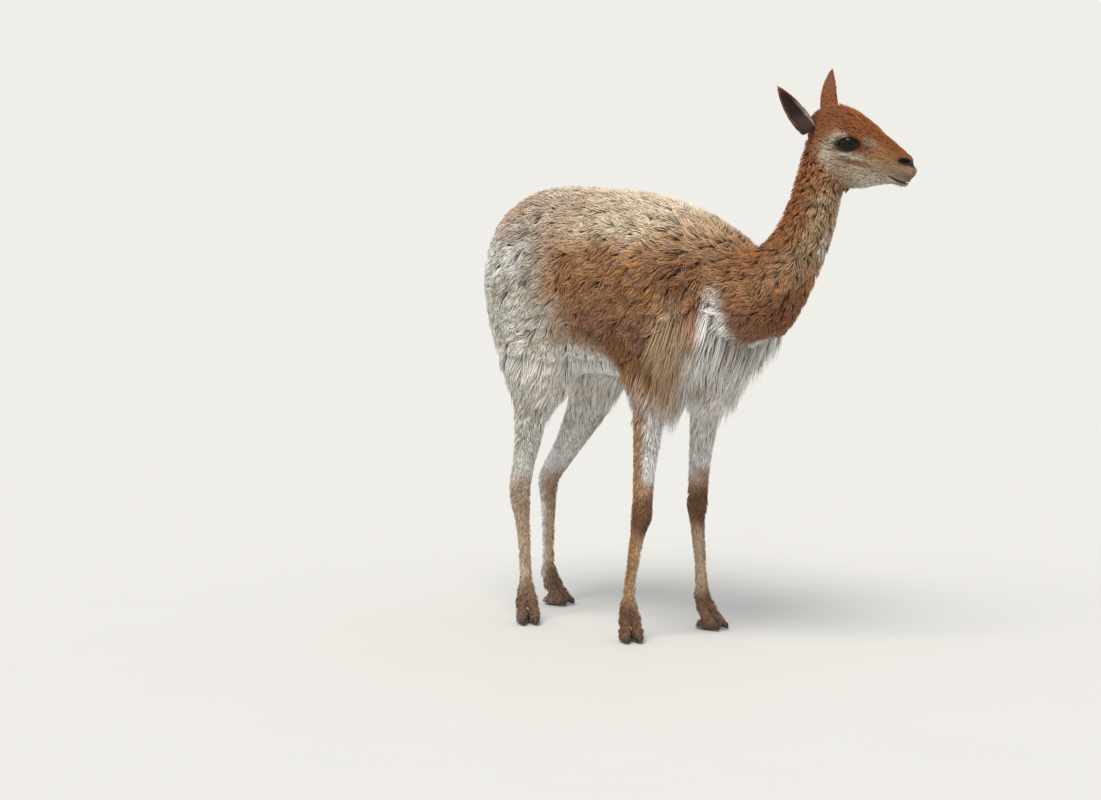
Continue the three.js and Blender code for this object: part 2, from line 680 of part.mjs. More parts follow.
// Nostrils: long slanted slits
const NOSTRIL = { x: 149, y: 16.5, z: 4, length: 22, height: 8, depth: 6, slant: 12, inward: 14 };
for (const side of MIRRORED) {
  const slit = new THREE.SphereGeometry(1, 12, 8)
    .scale(NOSTRIL.length / 2, NOSTRIL.depth, NOSTRIL.height / 2)
    .rotateY(radians(-NOSTRIL.slant)).rotateZ(radians(-side * NOSTRIL.inward))
    .translate(NOSTRIL.x, side * NOSTRIL.y, NOSTRIL.z);
  head = head.subtract(solidOf(slit));
}

// Mouth: a thin cut round the muzzle between the lips
const MOUTH = { corner: 131, front: 175, level: -30.5, sag: 4.5, height: 1.6, depth: 4, breadth: 80 };
function mouthCut() {
  const shape = new THREE.Shape();
  const { corner, front, level, height, breadth } = MOUTH;
  const middle = (corner + front) / 2;
  const low = level - MOUTH.sag * 2;
  shape.moveTo(corner, level);
  shape.quadraticCurveTo(middle, low, front, level);
  shape.lineTo(front, level + height);
  shape.quadraticCurveTo(middle, low + height, corner, level + height / 2);
  const plate = new THREE.ExtrudeGeometry(shape, { depth: breadth, bevelEnabled: false, curveSegments: 8 });
  return plate.translate(0, 0, -breadth / 2).rotateX(Math.PI / 2);
}
head = head.subtract(solidOf(mouthCut()).subtract(solidOf(headTube(-MOUTH.depth))));
headGroup.add(mesh("head", geometryOf(head), "head"));

// Ears: leaf-shaped cups. Across the ear the section is a C that is open to the front, and it
// closes to a full round at the root and the tip.
const EARS = {
  ear_right: { root: [-34, -29, 12], tip: [-105, -67, 77], facing: [0.3, -0.95, 0.2] },
  ear_left: { root: [-10, 27, 34], tip: [-37, 52, 124], facing: [0.3, 0.95, 0.1] },
};
function earGeometry({ root, tip, facing }) {
  const start = vec(...root);
  const along = vec(...tip).sub(start);
  const length = along.length();
  along.normalize();
  const front = vec(...facing);
  front.addScaledVector(along, -front.dot(along)).normalize();
  const side = front.clone().cross(along);
  const rings = Array.from({ length: EAR_RINGS + 1 }, (_, i) => {
    const share = i / EAR_RINGS;
    const swell = Math.sin(Math.PI * (0.36 + 0.64 * share)) ** 0.85;
    const radius = Math.max(EAR.radius * swell, EAR.tip);
    const hollow = THREE.MathUtils.smoothstep(share, 0.05, 0.35)
      * (1 - THREE.MathUtils.smoothstep(share, 0.9, 1));
    const wall = Math.min(EAR.thickness, radius * EAR.rim);
    const centre = start.clone().addScaledVector(along, share * length)
      .addScaledVector(front, -EAR.bow * Math.sin(Math.PI * share));
    const arc = (r, depth) => Array.from({ length: EAR_SIDES }, (_, k) => {
      const turn = radians(EAR.spread * ((2 * k) / (EAR_SIDES - 1) - 1));
      return centre.clone().addScaledVector(side, r * Math.sin(turn))
        .addScaledVector(front, -r * EAR.depth * Math.cos(turn) * depth);
    });
    const inner = arc(radius - wall, THREE.MathUtils.lerp(-1, 1 - wall / radius, hollow));
    return [...arc(radius, 1), ...inner.reverse()];
  });
  return ringSolid(rings, centreOf(rings[0]), centreOf(rings[EAR_RINGS]));
}
for (const [name, ear] of Object.entries(EARS)) {
  const whole = solidOf(earGeometry(ear));
  headGroup.add(mesh(name, geometryOf(whole.subtract(solidOf(grownHead))), "ear"));
}

// Trunk and neck; the neck is cut free of the head
const headInBody = solidOf(grownHead.clone().applyMatrix4(headGroup.matrixWorld));
const neckSolid = solidOf(neckCore).subtract(headInBody);
vicuna.add(mesh("neck", geometryOf(neckSolid), "neck"));

// The middle of the whole stands over the origin, with its feet on the floor.
vicuna.updateMatrixWorld(true);
const reach = new THREE.Box3().setFromObject(vicuna, true);
vicuna.position.set(-(reach.min.x + reach.max.x) / 2, -(reach.min.y + reach.max.y) / 2, 0);

export default vicuna;
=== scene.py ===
# A young adult vicuna, life size, standing on a plain floor with its head up and turned a little
# to its left. Metres. The animal is shaped in its own frame, with x the way the body faces, y its
# left and z up from the floor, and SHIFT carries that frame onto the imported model.
import math
import bpy
import numpy as np
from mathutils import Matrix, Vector
from mathutils.kdtree import KDTree


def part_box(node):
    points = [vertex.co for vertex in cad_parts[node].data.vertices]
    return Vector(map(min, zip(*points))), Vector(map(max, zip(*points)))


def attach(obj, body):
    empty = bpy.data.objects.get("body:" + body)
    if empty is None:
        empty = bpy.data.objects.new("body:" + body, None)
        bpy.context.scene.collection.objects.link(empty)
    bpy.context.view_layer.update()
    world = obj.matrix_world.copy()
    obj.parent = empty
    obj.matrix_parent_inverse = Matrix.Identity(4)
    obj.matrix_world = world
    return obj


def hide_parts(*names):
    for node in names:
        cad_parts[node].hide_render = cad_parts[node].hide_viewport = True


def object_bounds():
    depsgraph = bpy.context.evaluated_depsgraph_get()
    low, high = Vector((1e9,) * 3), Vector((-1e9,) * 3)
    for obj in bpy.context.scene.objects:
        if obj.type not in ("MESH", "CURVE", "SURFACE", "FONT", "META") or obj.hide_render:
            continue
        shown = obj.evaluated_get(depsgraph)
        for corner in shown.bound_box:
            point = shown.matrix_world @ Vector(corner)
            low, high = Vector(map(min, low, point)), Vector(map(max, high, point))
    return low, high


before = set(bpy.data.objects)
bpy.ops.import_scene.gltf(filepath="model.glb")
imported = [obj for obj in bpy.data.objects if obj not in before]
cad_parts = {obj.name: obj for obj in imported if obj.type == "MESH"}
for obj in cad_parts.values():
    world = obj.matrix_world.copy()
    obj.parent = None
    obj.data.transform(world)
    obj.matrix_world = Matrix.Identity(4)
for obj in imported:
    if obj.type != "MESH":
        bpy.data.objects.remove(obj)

CAD_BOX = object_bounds()


def turned(yaw=0.0, pitch=0.0):
    """Axes, as columns, turned to the left by yaw and nose down by pitch, in degrees."""
    cy, sy = math.cos(math.radians(yaw)), math.sin(math.radians(yaw))
    cp, sp = math.cos(math.radians(pitch)), math.sin(math.radians(pitch))
    about_z = np.array([[cy, -sy, 0], [sy, cy, 0], [0, 0, 1]])
    about_y = np.array([[cp, 0, sp], [0, 1, 0], [-sp, 0, cp]])
    return about_z @ about_y


HEAD_AT = np.array((0.469, 0.062, 0.957))
HEAD_AXES = turned(32, 15)
EYE_AT = np.array((0.043, 0.023, 0.007))
EYE_RADIUS = 0.021
eye_low, eye_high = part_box("eye_left")
SHIFT = np.array((eye_low + eye_high) / 2) - (HEAD_AT + HEAD_AXES @ EYE_AT)


# The view. The camera stands eight metres off, in front of the animal's right shoulder and a
# little above its back, as a photographer with a long lens would.
PICTURE = (1101, 800)
ORIGIN_PIXEL = (625, 626)
FOCAL_PIXELS = 4136
DISTANCE = 8.0
VIEW_YAW = math.radians(47)
VIEW_RISE = math.radians(7)

back = Vector((math.sin(VIEW_YAW) * math.cos(VIEW_RISE), -math.cos(VIEW_YAW) * math.cos(VIEW_RISE),
               math.sin(VIEW_RISE)))
right = Vector((math.cos(VIEW_YAW), math.sin(VIEW_YAW), 0))
up = back.cross(right)
off_right = (ORIGIN_PIXEL[0] - PICTURE[0] / 2) / FOCAL_PIXELS
off_up = -(ORIGIN_PIXEL[1] - PICTURE[1] / 2) / FOCAL_PIXELS
camera_data = bpy.data.cameras.new("view")
camera_data.sensor_width = 36
camera_data.lens = FOCAL_PIXELS * camera_data.sensor_width / PICTURE[0]
camera_data.clip_end = 300
camera = bpy.data.objects.new("view", camera_data)
camera.location = back * DISTANCE - (right * off_right + up * off_up) * DISTANCE + Vector(SHIFT)
camera.rotation_mode = "QUATERNION"
camera.rotation_quaternion = (-back).to_track_quat("-Z", "Y")
bpy.context.scene.collection.objects.link(camera)
bpy.context.scene.camera = camera


# The skin. On the real animal it is one hide over muscle, fat and bone, without a seam from the
# lips to the fetlocks. Here soft forms, eggs and round cones blended together, give its shape,
# sunk below the coat's outline by the depth of the coat that grows on it.
def ramp(x, low, high):
    t = np.clip((x - low) / (high - low), 0, 1)
    return t * t * (3 - 2 * t)


def mix(a, b, share):
    return a + (b - a) * share


def unit(v):
    return v / np.maximum(np.linalg.norm(v, axis=-1, keepdims=True), 1e-12)


def blend(a, b, width):
    h = np.clip(0.5 + 0.5 * (b - a) / width, 0, 1)
    return b + (a - b) * h - width * h * (1 - h)


def carve(a, b, width):
    """Form a with form b taken out of it."""
    return -blend(-a, b, width)


def egg(p, at, radii, axes=None):
    q = p - np.array(at)
    if axes is not None:
        q = q @ axes
    near = np.sqrt(((q / np.array(radii)) ** 2).sum(-1))
    steep = np.sqrt(((q / np.array(radii) ** 2) ** 2).sum(-1))
    return near * (near - 1) / np.maximum(steep, 1e-9)


def cones(p, points, width=0.0):
    found = None
    for a, b in zip(points[:-1], points[1:]):
        span = b[:3] - a[:3]
        q = p - a[:3]
        t = np.clip((q @ span) / (span @ span), 0, 1)
        d = np.sqrt(((q - t[..., None] * span) ** 2).sum(-1)) - (a[3] + (b[3] - a[3]) * t)
        if found is None:
            found = d
        else:
            found = blend(found, d, width) if width else np.minimum(found, d)
    return found


def smooth_line(points, steps=3):
    """Points x, y, z, radius in millimetres, as a smooth curve in metres through them."""
    given = np.array(points, float) / 1000
    padded = np.vstack([given[:1], given, given[-1:]])
    line = []
    for a, b, c, d in zip(padded[:-3], padded[1:-2], padded[2:-1], padded[3:]):
        for j in range(steps):
            t = j / steps
            line.append(0.5 * (2 * b + (c - a) * t + (2 * a - 5 * b + 4 * c - d) * t ** 2
                               + (3 * b - a - 3 * c + d) * t ** 3))
    line.append(given[-1])
    return np.array(line)


def both_sides(p):
    return np.stack([p[..., 0], np.abs(p[..., 1]), p[..., 2]], -1)


THIGH_TILT = turned(0, -12)
NECK = smooth_line([
    (245, 0, 652, 118), (300, 1, 650, 102), (355, 5, 672, 80), (405, 12, 716, 61), (440, 22, 772, 51),
    (457, 37, 835, 46), (462, 50, 893, 43), (465, 58, 935, 39), (467, 61, 958, 31)])
TAIL = smooth_line([(-296, 0, 742, 26), (-322, 0, 700, 29), (-336, 0, 640, 30), (-338, 0, 560, 24),
                    (-332, 0, 500, 10)])
TAIL_BREADTH = 1.35


def trunk_form(p):
    s = both_sides(p)
    d = egg(p, (-0.010, 0, 0.672), (0.285, 0.160, 0.171))
    d = blend(d, egg(p, (-0.168, 0, 0.686), (0.158, 0.142, 0.150)), 0.05)
    d = blend(d, egg(p, (0.150, 0, 0.652), (0.182, 0.134, 0.154)), 0.05)
    d = blend(d, egg(s, (-0.172, 0.072, 0.575), (0.100, 0.070, 0.150), THIGH_TILT), 0.05)
    d = blend(d, egg(s, (0.150, 0.075, 0.582), (0.075, 0.058, 0.140)), 0.05)
    return blend(d, egg(p, (0.262, 0, 0.596), (0.072, 0.074, 0.118)), 0.05)


def body_form(p):
    d = trunk_form(p)
    fore = p[..., 0] > 0.06
    d[fore] = blend(d[fore], cones(p[fore], NECK), 0.04)
    return d


def tail_form(p):
    return cones(p / np.array((1, TAIL_BREADTH, 1)), TAIL)


# Legs: a line of points from the body down to the fetlock, the foot's place and its turn.
LEGS = {
    "fore_right": ([(158, -80, 530, 43), (154, -87, 430, 30), (147, -91, 340, 23), (142, -92, 268, 20.5),
                    (139, -92, 238, 21.5), (131, -94, 205, 15.5), (115, -97, 115, 12.5), (112, -99, 66, 15)],
                   (0.114, -0.100), -33),
    "fore_left": ([(148, 80, 530, 43), (132, 86, 430, 30), (116, 88, 340, 23), (108, 89, 262, 20.5),
                   (107, 89, 238, 21.5), (107, 90, 205, 15.5), (112, 94, 115, 12.5), (114, 95, 66, 15)],
                  (0.118, 0.096), 5),
    "hind_right": ([(-165, -82, 530, 54), (-163, -93, 440, 37), (-172, -98, 350, 26), (-188, -101, 275, 22),
                    (-188, -102, 238, 21), (-180, -103, 195, 15.5), (-170, -105, 110, 13),
                    (-167, -107, 66, 15)], (-0.164, -0.108), -35),
    "hind_left": ([(-146, 78, 510, 56), (-180, 80, 420, 43), (-238, 77, 330, 28), (-290, 74, 262, 22.5),
                   (-296, 73, 238, 21), (-295, 72, 190, 15.5), (-293, 70, 110, 13), (-291, 70, 66, 15)],
                  (-0.286, 0.069), 8),
}
LEG_LINES = {name: smooth_line(leg[0]) for name, leg in LEGS.items()}
TOE = np.array([(-3, 4, 62, 14), (6, 10, 42, 12.5), (22, 12.5, 20, 12), (38, 13, 12, 10)]) / 1000


LEG_BOXES = {name: (line[:, :3].min(0) - (0.08, 0.08, 0.14), line[:, :3].max(0) + 0.08)
             for name, line in LEG_LINES.items()}


def near_leg(p, name):
    low, high = LEG_BOXES[name]
    return ((p > low) & (p < high)).all(-1)


def in_foot(p, name):
    """Points in the frame of a foot, whose x runs forward between its two toes."""
    _, place, turn = LEGS[name]
    return (p - np.array((*place, 0))) @ turned(turn)


def foot_form(p, name):
    s = both_sides(in_foot(p, name))
    d = cones(s, TOE, 0.006)
    d = blend(d, egg(s, (0.016, 0.012, 0.008), (0.026, 0.0115, 0.011)), 0.006)
    d = blend(d, egg(s, (0.001, 0, 0.008), (0.014, 0.015, 0.015)), 0.006)
    return np.maximum(d, -p[..., 2])


def leg_form(p, name):
    return blend(cones(p, LEG_LINES[name]), foot_form(p, name), 0.010)


# Head forms, in the head's frame: x to the nose, y to the left, z to the crown
HEAD_BREADTH = 0.86
MUZZLE = np.array([(78, 0, 18, 28), (108, 0, 10, 25), (132, 0, 4, 20), (147, 0, 0, 16)]) / 1000
JAW = np.array([(30, 0, -30, 45), (75, 0, -30, 38), (118, 0, -22, 27), (148, 0, -20, 19)]) / 1000
MOUTH_CORNER = 0.131
MOUTH_FRONT = 0.175
MOUTH_REAR = -0.0305
MOUTH_SAG = 0.0045


def mouth_height(x):
    """The line between the lips, a little lower in its middle and rising to the front."""
    t = np.clip((x - MOUTH_CORNER) / (MOUTH_FRONT - MOUTH_CORNER), 0, 1)
    return MOUTH_REAR - MOUTH_SAG * np.sin(math.pi * t)


def in_head(p):
    return (p - HEAD_AT) @ HEAD_AXES


def head_form(q):
    s = both_sides(q)
    narrow = q / np.array((1, HEAD_BREADTH, 1))
    d = egg(q, (0.014, 0, 0.022), (0.056, 0.041, 0.050))
    d = blend(d, egg(q, (0.046, 0, 0.024), (0.042, 0.039, 0.040)), 0.015)
    d = blend(d, egg(s, (0.052, 0.031, 0.027), (0.030, 0.011, 0.009)), 0.012)
    d = blend(d, egg(s, (0.045, 0.022, -0.038), (0.045, 0.024, 0.036)), 0.012)
    d = blend(d, cones(narrow, MUZZLE), 0.018)
    d = blend(d, cones(narrow, JAW), 0.018)
    end = egg(q, (0.146, 0, 0.002), (0.013, 0.0175, 0.011))
    end = blend(end, egg(q, (0.155, 0, -0.013), (0.019, 0.0185, 0.0125)), 0.007)
    end = blend(end, egg(q, (0.151, 0, -0.034), (0.015, 0.014, 0.0095)), 0.006)
    return blend(d, end, 0.007)


# Depth of the coat over the skin
FLEECE_DEPTH = 0.011
BIB_DEPTH = 0.028
BIB_AT = np.array((0.292, 0, 0.560))
NECK_DEPTH = 0.010
LEG_DEPTH = 0.0035
TAIL_DEPTH = 0.012


def body_depth(p):
    bib = 1 - ramp(np.sqrt(((p - BIB_AT) ** 2).sum(-1)), 0.06, 0.135)
    return np.maximum(mix(FLEECE_DEPTH, NECK_DEPTH, ramp(p[..., 0], 0.26, 0.345)), BIB_DEPTH * bib)


def head_depth(q):
    crown = ramp(q[..., 2], 0.02, 0.06) * (1 - ramp(q[..., 0], 0.05, 0.09))
    throat = 1 - ramp(q[..., 0], 0.02, 0.07)
    face = mix(0.0030, 0.0012, ramp(q[..., 0], 0.11, 0.145))
    return face + 0.007 * crown + 0.003 * throat


EYE_SLANT = math.radians(20)
EYE_FORWARD = np.array((math.cos(EYE_SLANT), 0, math.sin(EYE_SLANT)))
EYE_UPWARD = np.array((-math.sin(EYE_SLANT), 0, math.cos(EYE_SLANT)))
LID_HALF = (math.radians(56), math.radians(36))


def around_eye(s):
    """One at the rim of the lids, less over the eye and more outside them; s is folded to the left."""
    way = s - EYE_AT
    across = np.arctan2(way @ EYE_FORWARD, way[..., 1]) / LID_HALF[0]
    lift = np.arctan2(way @ EYE_UPWARD, way[..., 1]) / LID_HALF[1]
    return np.where((way ** 2).sum(-1) < 0.036 ** 2, np.hypot(across, lift), 9.0)


LID_REACH = (0.0212, 0.0140)


def from_lids(s):
    """One at the outer edge of the dark lids, seen from the side; s is folded to the left."""
    way = s - EYE_AT
    found = np.hypot((way @ EYE_FORWARD) / LID_REACH[0], (way @ EYE_UPWARD) / LID_REACH[1])
    return np.where(s[..., 1] > 0.018, found, 9.0)


def head_skin(q):
    """The head under its fur, with brows and balls of the eyes, nostrils and the cut of the mouth."""
    s = both_sides(q)
    d = head_form(q) + head_depth(q)
    ball = np.sqrt(((s - EYE_AT) ** 2).sum(-1))
    d = blend(d, ball - (EYE_RADIUS + 0.0010), 0.006)
    opening = (around_eye(s) - 1.10) * 0.012
    d = carve(d, np.maximum(opening, 0.026 - s[..., 1]), 0.0010)
    rim = egg(s, (0.1470, 0.0142, 0.0045), (0.0135, 0.0056, 0.0078), turned(-14, -10))
    d = blend(d, rim, 0.004)
    slit = egg(s, (0.1490, 0.0165, 0.0040), (0.0112, 0.0060, 0.0042), turned(-14, -12))
    d = carve(d, slit, 0.0020)
    groove = egg(q, (0.163, 0, -0.010), (0.006, 0.0012, 0.016))
    d = carve(d, groove, 0.0016)
    lips = np.maximum(np.abs(q[..., 2] - mouth_height(q[..., 0])) - 0.0011, MOUTH_CORNER - q[..., 0])
    return carve(d, np.maximum(lips, -(d + 0.005)), 0.0012)


def neck_plane(q):
    """Above zero in the head, below it in the neck."""
    return 0.6 * (q[..., 0] + 0.050) + 0.8 * (q[..., 2] - 0.010)


def skin_form(p):
    d = body_form(p) + body_depth(p)
    for name in LEGS:
        near = near_leg(p, name)
        leg = p[near]
        depth = mix(LEG_DEPTH, 0.006, ramp(leg[..., 2], 0.30, 0.48))
        d[near] = blend(d[near], leg_form(leg, name) + depth, 0.022)
    rear = p[..., 0] < -0.20
    d[rear] = blend(d[rear], tail_form(p[rear]) + TAIL_DEPTH, 0.015)
    return d


OVERLAP = 0.035


def below_head(p):
    d = skin_form(p)
    near = (p[..., 2] > 0.78) & (p[..., 0] > 0.30)
    q = in_head(p[near])
    with_head = blend(d[near], head_form(q) + head_depth(q), 0.018) + 0.0015 * ramp(neck_plane(q), -0.03, 0)
    d[near] = np.maximum(with_head, neck_plane(q) - 0.01)
    return d


def whole_head(p):
    q = in_head(p)
    neck = cones(p, NECK) + NECK_DEPTH
    return np.maximum(blend(neck, head_skin(q), 0.018), -neck_plane(q) - OVERLAP)


def in_parts(form, p, size=150000):
    return np.concatenate([form(p[i:i + size]) for i in range(0, len(p), size)])


def slope(form, p, step=0.0006):
    """The way out of a form at each point."""
    out = np.zeros_like(p)
    for corner in ((1, -1, -1), (-1, -1, 1), (-1, 1, -1), (1, 1, 1)):
        corner = np.array(corner, float)
        out += in_parts(form, p + corner * step)[:, None] * corner
    return unit(out)


def surface(form, low, high, cell, block=12):
    """A closed net of quads where the form is zero, found block by block on a grid of cells."""
    low = np.array(low, float)
    count = np.ceil((np.array(high) - low) / cell / block).astype(int)
    size = count * block + 1
    grid = np.full(size, 1e3, np.float32)
    ticks = [low[i] + cell * np.arange(size[i]) for i in range(3)]
    centres = np.stack(np.meshgrid(*[low[i] + cell * block * (np.arange(count[i]) + 0.5) for i in range(3)],
                                   indexing="ij"), -1)
    value = in_parts(form, centres.reshape(-1, 3)).reshape(count)
    reach = cell * block * 1.2
    for at in np.argwhere(value <= -reach):
        grid[tuple(slice(k * block, (k + 1) * block + 1) for k in at)] = -1e3
    for at in np.argwhere(np.abs(value) < reach):
        part = tuple(slice(k * block, (k + 1) * block + 1) for k in at)
        points = np.stack(np.meshgrid(*[ticks[i][part[i]] for i in range(3)], indexing="ij"), -1)
        grid[part] = form(points.reshape(-1, 3)).reshape(points.shape[:3])
    inside = grid < 0
    corners = [(i, j, k) for i in (0, 1) for j in (0, 1) for k in (0, 1)]
    size = np.array(grid.shape) - 1
    filled = sum(inside[i:i + size[0], j:j + size[1], k:k + size[2]].astype(np.int8) for i, j, k in corners)
    active = (filled > 0) & (filled < 8)
    cells = np.argwhere(active)
    number = np.full(active.shape, -1, np.int64)
    number[active] = np.arange(len(cells))
    total = np.zeros((len(cells), 3))
    crossings = np.zeros(len(cells))
    values = {c: grid[cells[:, 0] + c[0], cells[:, 1] + c[1], cells[:, 2] + c[2]].astype(float)
              for c in corners}
    for start in corners:
        for axis in range(3):
            if start[axis] == 1:
                continue
            end = tuple(1 if i == axis else start[i] for i in range(3))
            a, b = values[start], values[end]
            crossed = (a < 0) != (b < 0)
            t = np.where(crossed, a / np.where(crossed, a - b, 1), 0)
            point = np.tile(np.array(start, float), (len(cells), 1))
            point[:, axis] += t
            total[crossed] += point[crossed]
            crossings[crossed] += 1
    points = low + cell * (cells + total / crossings[:, None])
    quads = []
    for axis, (u, v) in enumerate(((1, 2), (2, 0), (0, 1))):
        first = [slice(None)] * 3
        second = [slice(None)] * 3
        first[axis] = slice(0, -1)
        second[axis] = slice(1, None)
        a, b = inside[tuple(first)], inside[tuple(second)]
        edges = np.argwhere(a != b)
        edges = edges[(edges[:, u] > 0) & (edges[:, v] > 0)
                      & (edges[:, u] < size[u]) & (edges[:, v] < size[v])]

        def corner(du, dv):
            e = edges.copy()
            e[:, u] -= du
            e[:, v] -= dv
            return number[e[:, 0], e[:, 1], e[:, 2]]

        quad = np.stack([corner(1, 1), corner(0, 1), corner(0, 0), corner(1, 0)], 1)
        flip = ~a[edges[:, 0], edges[:, 1], edges[:, 2]]
        quad[flip] = quad[flip][:, ::-1]
        quads.append(quad)
    for _ in range(2):
        out = slope(form, points, cell * 0.25)
        off = np.clip(in_parts(form, points), -cell * 0.5, cell * 0.5)
        points = points - out * off[:, None]
    return points, np.concatenate(quads)


BODY_SPACE = ((-0.40, -0.22, -0.012), (0.62, 0.22, 1.06))
BODY_CELL = 0.0052
HEAD_SPACE = ((0.36, -0.06, 0.84), (0.70, 0.26, 1.08))
HEAD_CELL = 0.0017
body_points, body_quads = surface(below_head, *BODY_SPACE, BODY_CELL)
head_points, head_quads = surface(whole_head, *HEAD_SPACE, HEAD_CELL)
skin_points = np.vstack([body_points, head_points])
skin_quads = np.vstack([body_quads, head_quads + len(body_points)])
print("skin", len(body_quads) * 2, len(head_quads) * 2)


# Markings. The wool of the back and flanks is sandy to cinnamon, the rump and the thighs a dusty
# cream, the belly, the chest and the insides of the legs white. Skin and coat share this map,
# a function of a point on the hide and of the way out of it. The map also holds painted shade,
# under the base of the neck and over the face.
def tone(code):
    """A colour as light, from its usual six-digit code."""
    value = np.array([int(code[i:i + 2], 16) for i in (1, 3, 5)]) / 255
    return np.where(value <= 0.04045, value / 12.92, ((value + 0.055) / 1.055) ** 2.4)


SANDY = tone("#e0cfb4")
CINNAMON = tone("#ac7748")
UMBER = tone("#79492a")
DUST = tone("#e4e0d6")
SHADE = tone("#ab9a7e")
WHITE = tone("#f0eee9")
TAN = tone("#bd9568")
RUSSET = tone("#9c5c30")
GRIZZLE = tone("#ab9678")
CREAM = tone("#dcccb0")
SEPIA = tone("#6b452d")
SOOT = tone("#1a1310")
SLATE = tone("#7b6a5b")


def ripple(p, size, seed=0):
    """Smooth noise from -1 to 1 over points, with waves of about the given size."""
    chance = np.random.default_rng(seed)
    total = np.zeros(len(p))
    for _ in range(7):
        way = chance.normal(size=3)
        way *= 2 * math.pi / size / np.linalg.norm(way) * chance.uniform(0.6, 1.4)
        total += np.sin(p @ way + chance.uniform(0, 2 * math.pi))
    return total / 3.2


def spot(p, at, radii, soft=0.5):
    """One inside an egg, falling to nothing over its soft rim."""
    near = np.sqrt((((p - np.array(at)) / np.array(radii)) ** 2).sum(-1))
    return 1 - ramp(near, 1 - soft, 1 + soft)


def layer(under, over, share):
    return under + (over - under) * share[:, None]


def body_colour(p, n):
    x, y, z = p.T
    wobble = 0.018 * ripple(p, 0.10, 3) + 0.008 * ripple(p, 0.03, 4)
    colour = np.tile(CINNAMON, (len(p), 1))
    colour = layer(colour, UMBER, 0.65 * spot(p, (0.13, 0, 0.57), (0.13, 0.5, 0.09), 0.6))
    colour = layer(colour, UMBER, 0.75 * spot(p, (0.262, 0, 0.715), (0.045, 0.5, 0.055), 0.6))
    colour = layer(colour, UMBER, 0.40 * ramp(ripple(p, 0.05, 5), 0.0, 0.9))
    colour = layer(colour, TAN, 0.45 * ramp(ripple(p, 0.04, 15), 0.2, 0.9))
    colour = layer(colour, TAN, 0.8 * ramp(z + wobble, 0.70, 0.78))
    top = ramp(z + wobble, 0.735, 0.80)
    colour = layer(colour, SANDY, top * (1 - 0.65 * ramp(x, 0.14, 0.24)))
    rump = ramp(-x + wobble + 0.25 * (0.64 - z), 0.005, 0.105)
    colour = layer(colour, DUST, rump * (1 - 0.8 * top))
    mud = spot(p, (-0.095, 0, 0.69), (0.035, 0.5, 0.085), 0.6)
    dirty = np.maximum(ramp(ripple(p, 0.055, 6), 0.05, 0.8), mud)
    low_rump = 0.5 * (1 - ramp(z, 0.52, 0.62)) * ramp(ripple(p, 0.04, 21), -0.5, 0.5)
    colour = layer(colour, SHADE, rump * (1 - 0.75 * top) * np.maximum(0.75 * dirty, low_rump))
    border = np.clip(0.575 - 0.5 * (x + 0.05), 0.480, 0.575)
    under = 1 - ramp(z + 1.2 * wobble, border - 0.045, border + 0.015)
    colour = layer(colour, TAN, 0.75 * (1 - ramp(z + wobble, border, border + 0.05)) * ramp(x, -0.10, -0.06))
    shoulder = spot(p, (0.245, 0, 0.565), (0.045, 0.5, 0.085), 0.5)
    colour = layer(colour, mix(TAN, CREAM, 0.5), 0.85 * shoulder)
    colour = layer(colour, mix(WHITE, CREAM, 0.25), under)
    neck = ramp(x + 0.35 * (z - 0.62), 0.310, 0.350)
    colour = layer(colour, mix(CINNAMON, UMBER, 0.15), neck)
    # The lowest part of the neck's base is darker still: painted shade under the base of the neck.
    colour = layer(colour, UMBER, 0.55 * neck * (1 - ramp(z + wobble, 0.64, 0.70)))
    turn = 0.56 * ramp(z, 0.64, 0.90)
    facing = n[:, 0] * np.cos(turn) + n[:, 1] * np.sin(turn)
    grey = ramp(facing + 6 * wobble, 0.12, 0.50) * ramp(z, 0.66, 0.78)
    colour = layer(colour, mix(GRIZZLE, TAN, 0.4), 0.9 * grey * neck)
    nape = ramp(0.1 - facing, 0.0, 0.7) * ramp(z, 0.72, 0.84)
    colour = layer(colour, RUSSET, 0.8 * nape)
    throat = ramp(facing + 2 * wobble, 0.970, 0.998) * ramp(z, 0.66, 0.72) * neck
    colour = layer(colour, mix(WHITE, TAN, 0.4), throat)
    streak = spot(p, (0.326, 0, 0.585), (0.026, 0.5, 0.095), 0.35) * ramp(np.abs(y), 0.04, 0.07)
    bib = (1 - ramp(z + 0.8 * wobble, 0.555, 0.590)) * ramp(x, 0.245, 0.285)
    colour = layer(colour, WHITE, np.maximum(bib, streak))
    return layer(colour, WHITE, ramp(-n[:, 2], 0.45, 0.80) * (1 - ramp(x, 0.30, 0.36)))


KNEE_POINT = 12


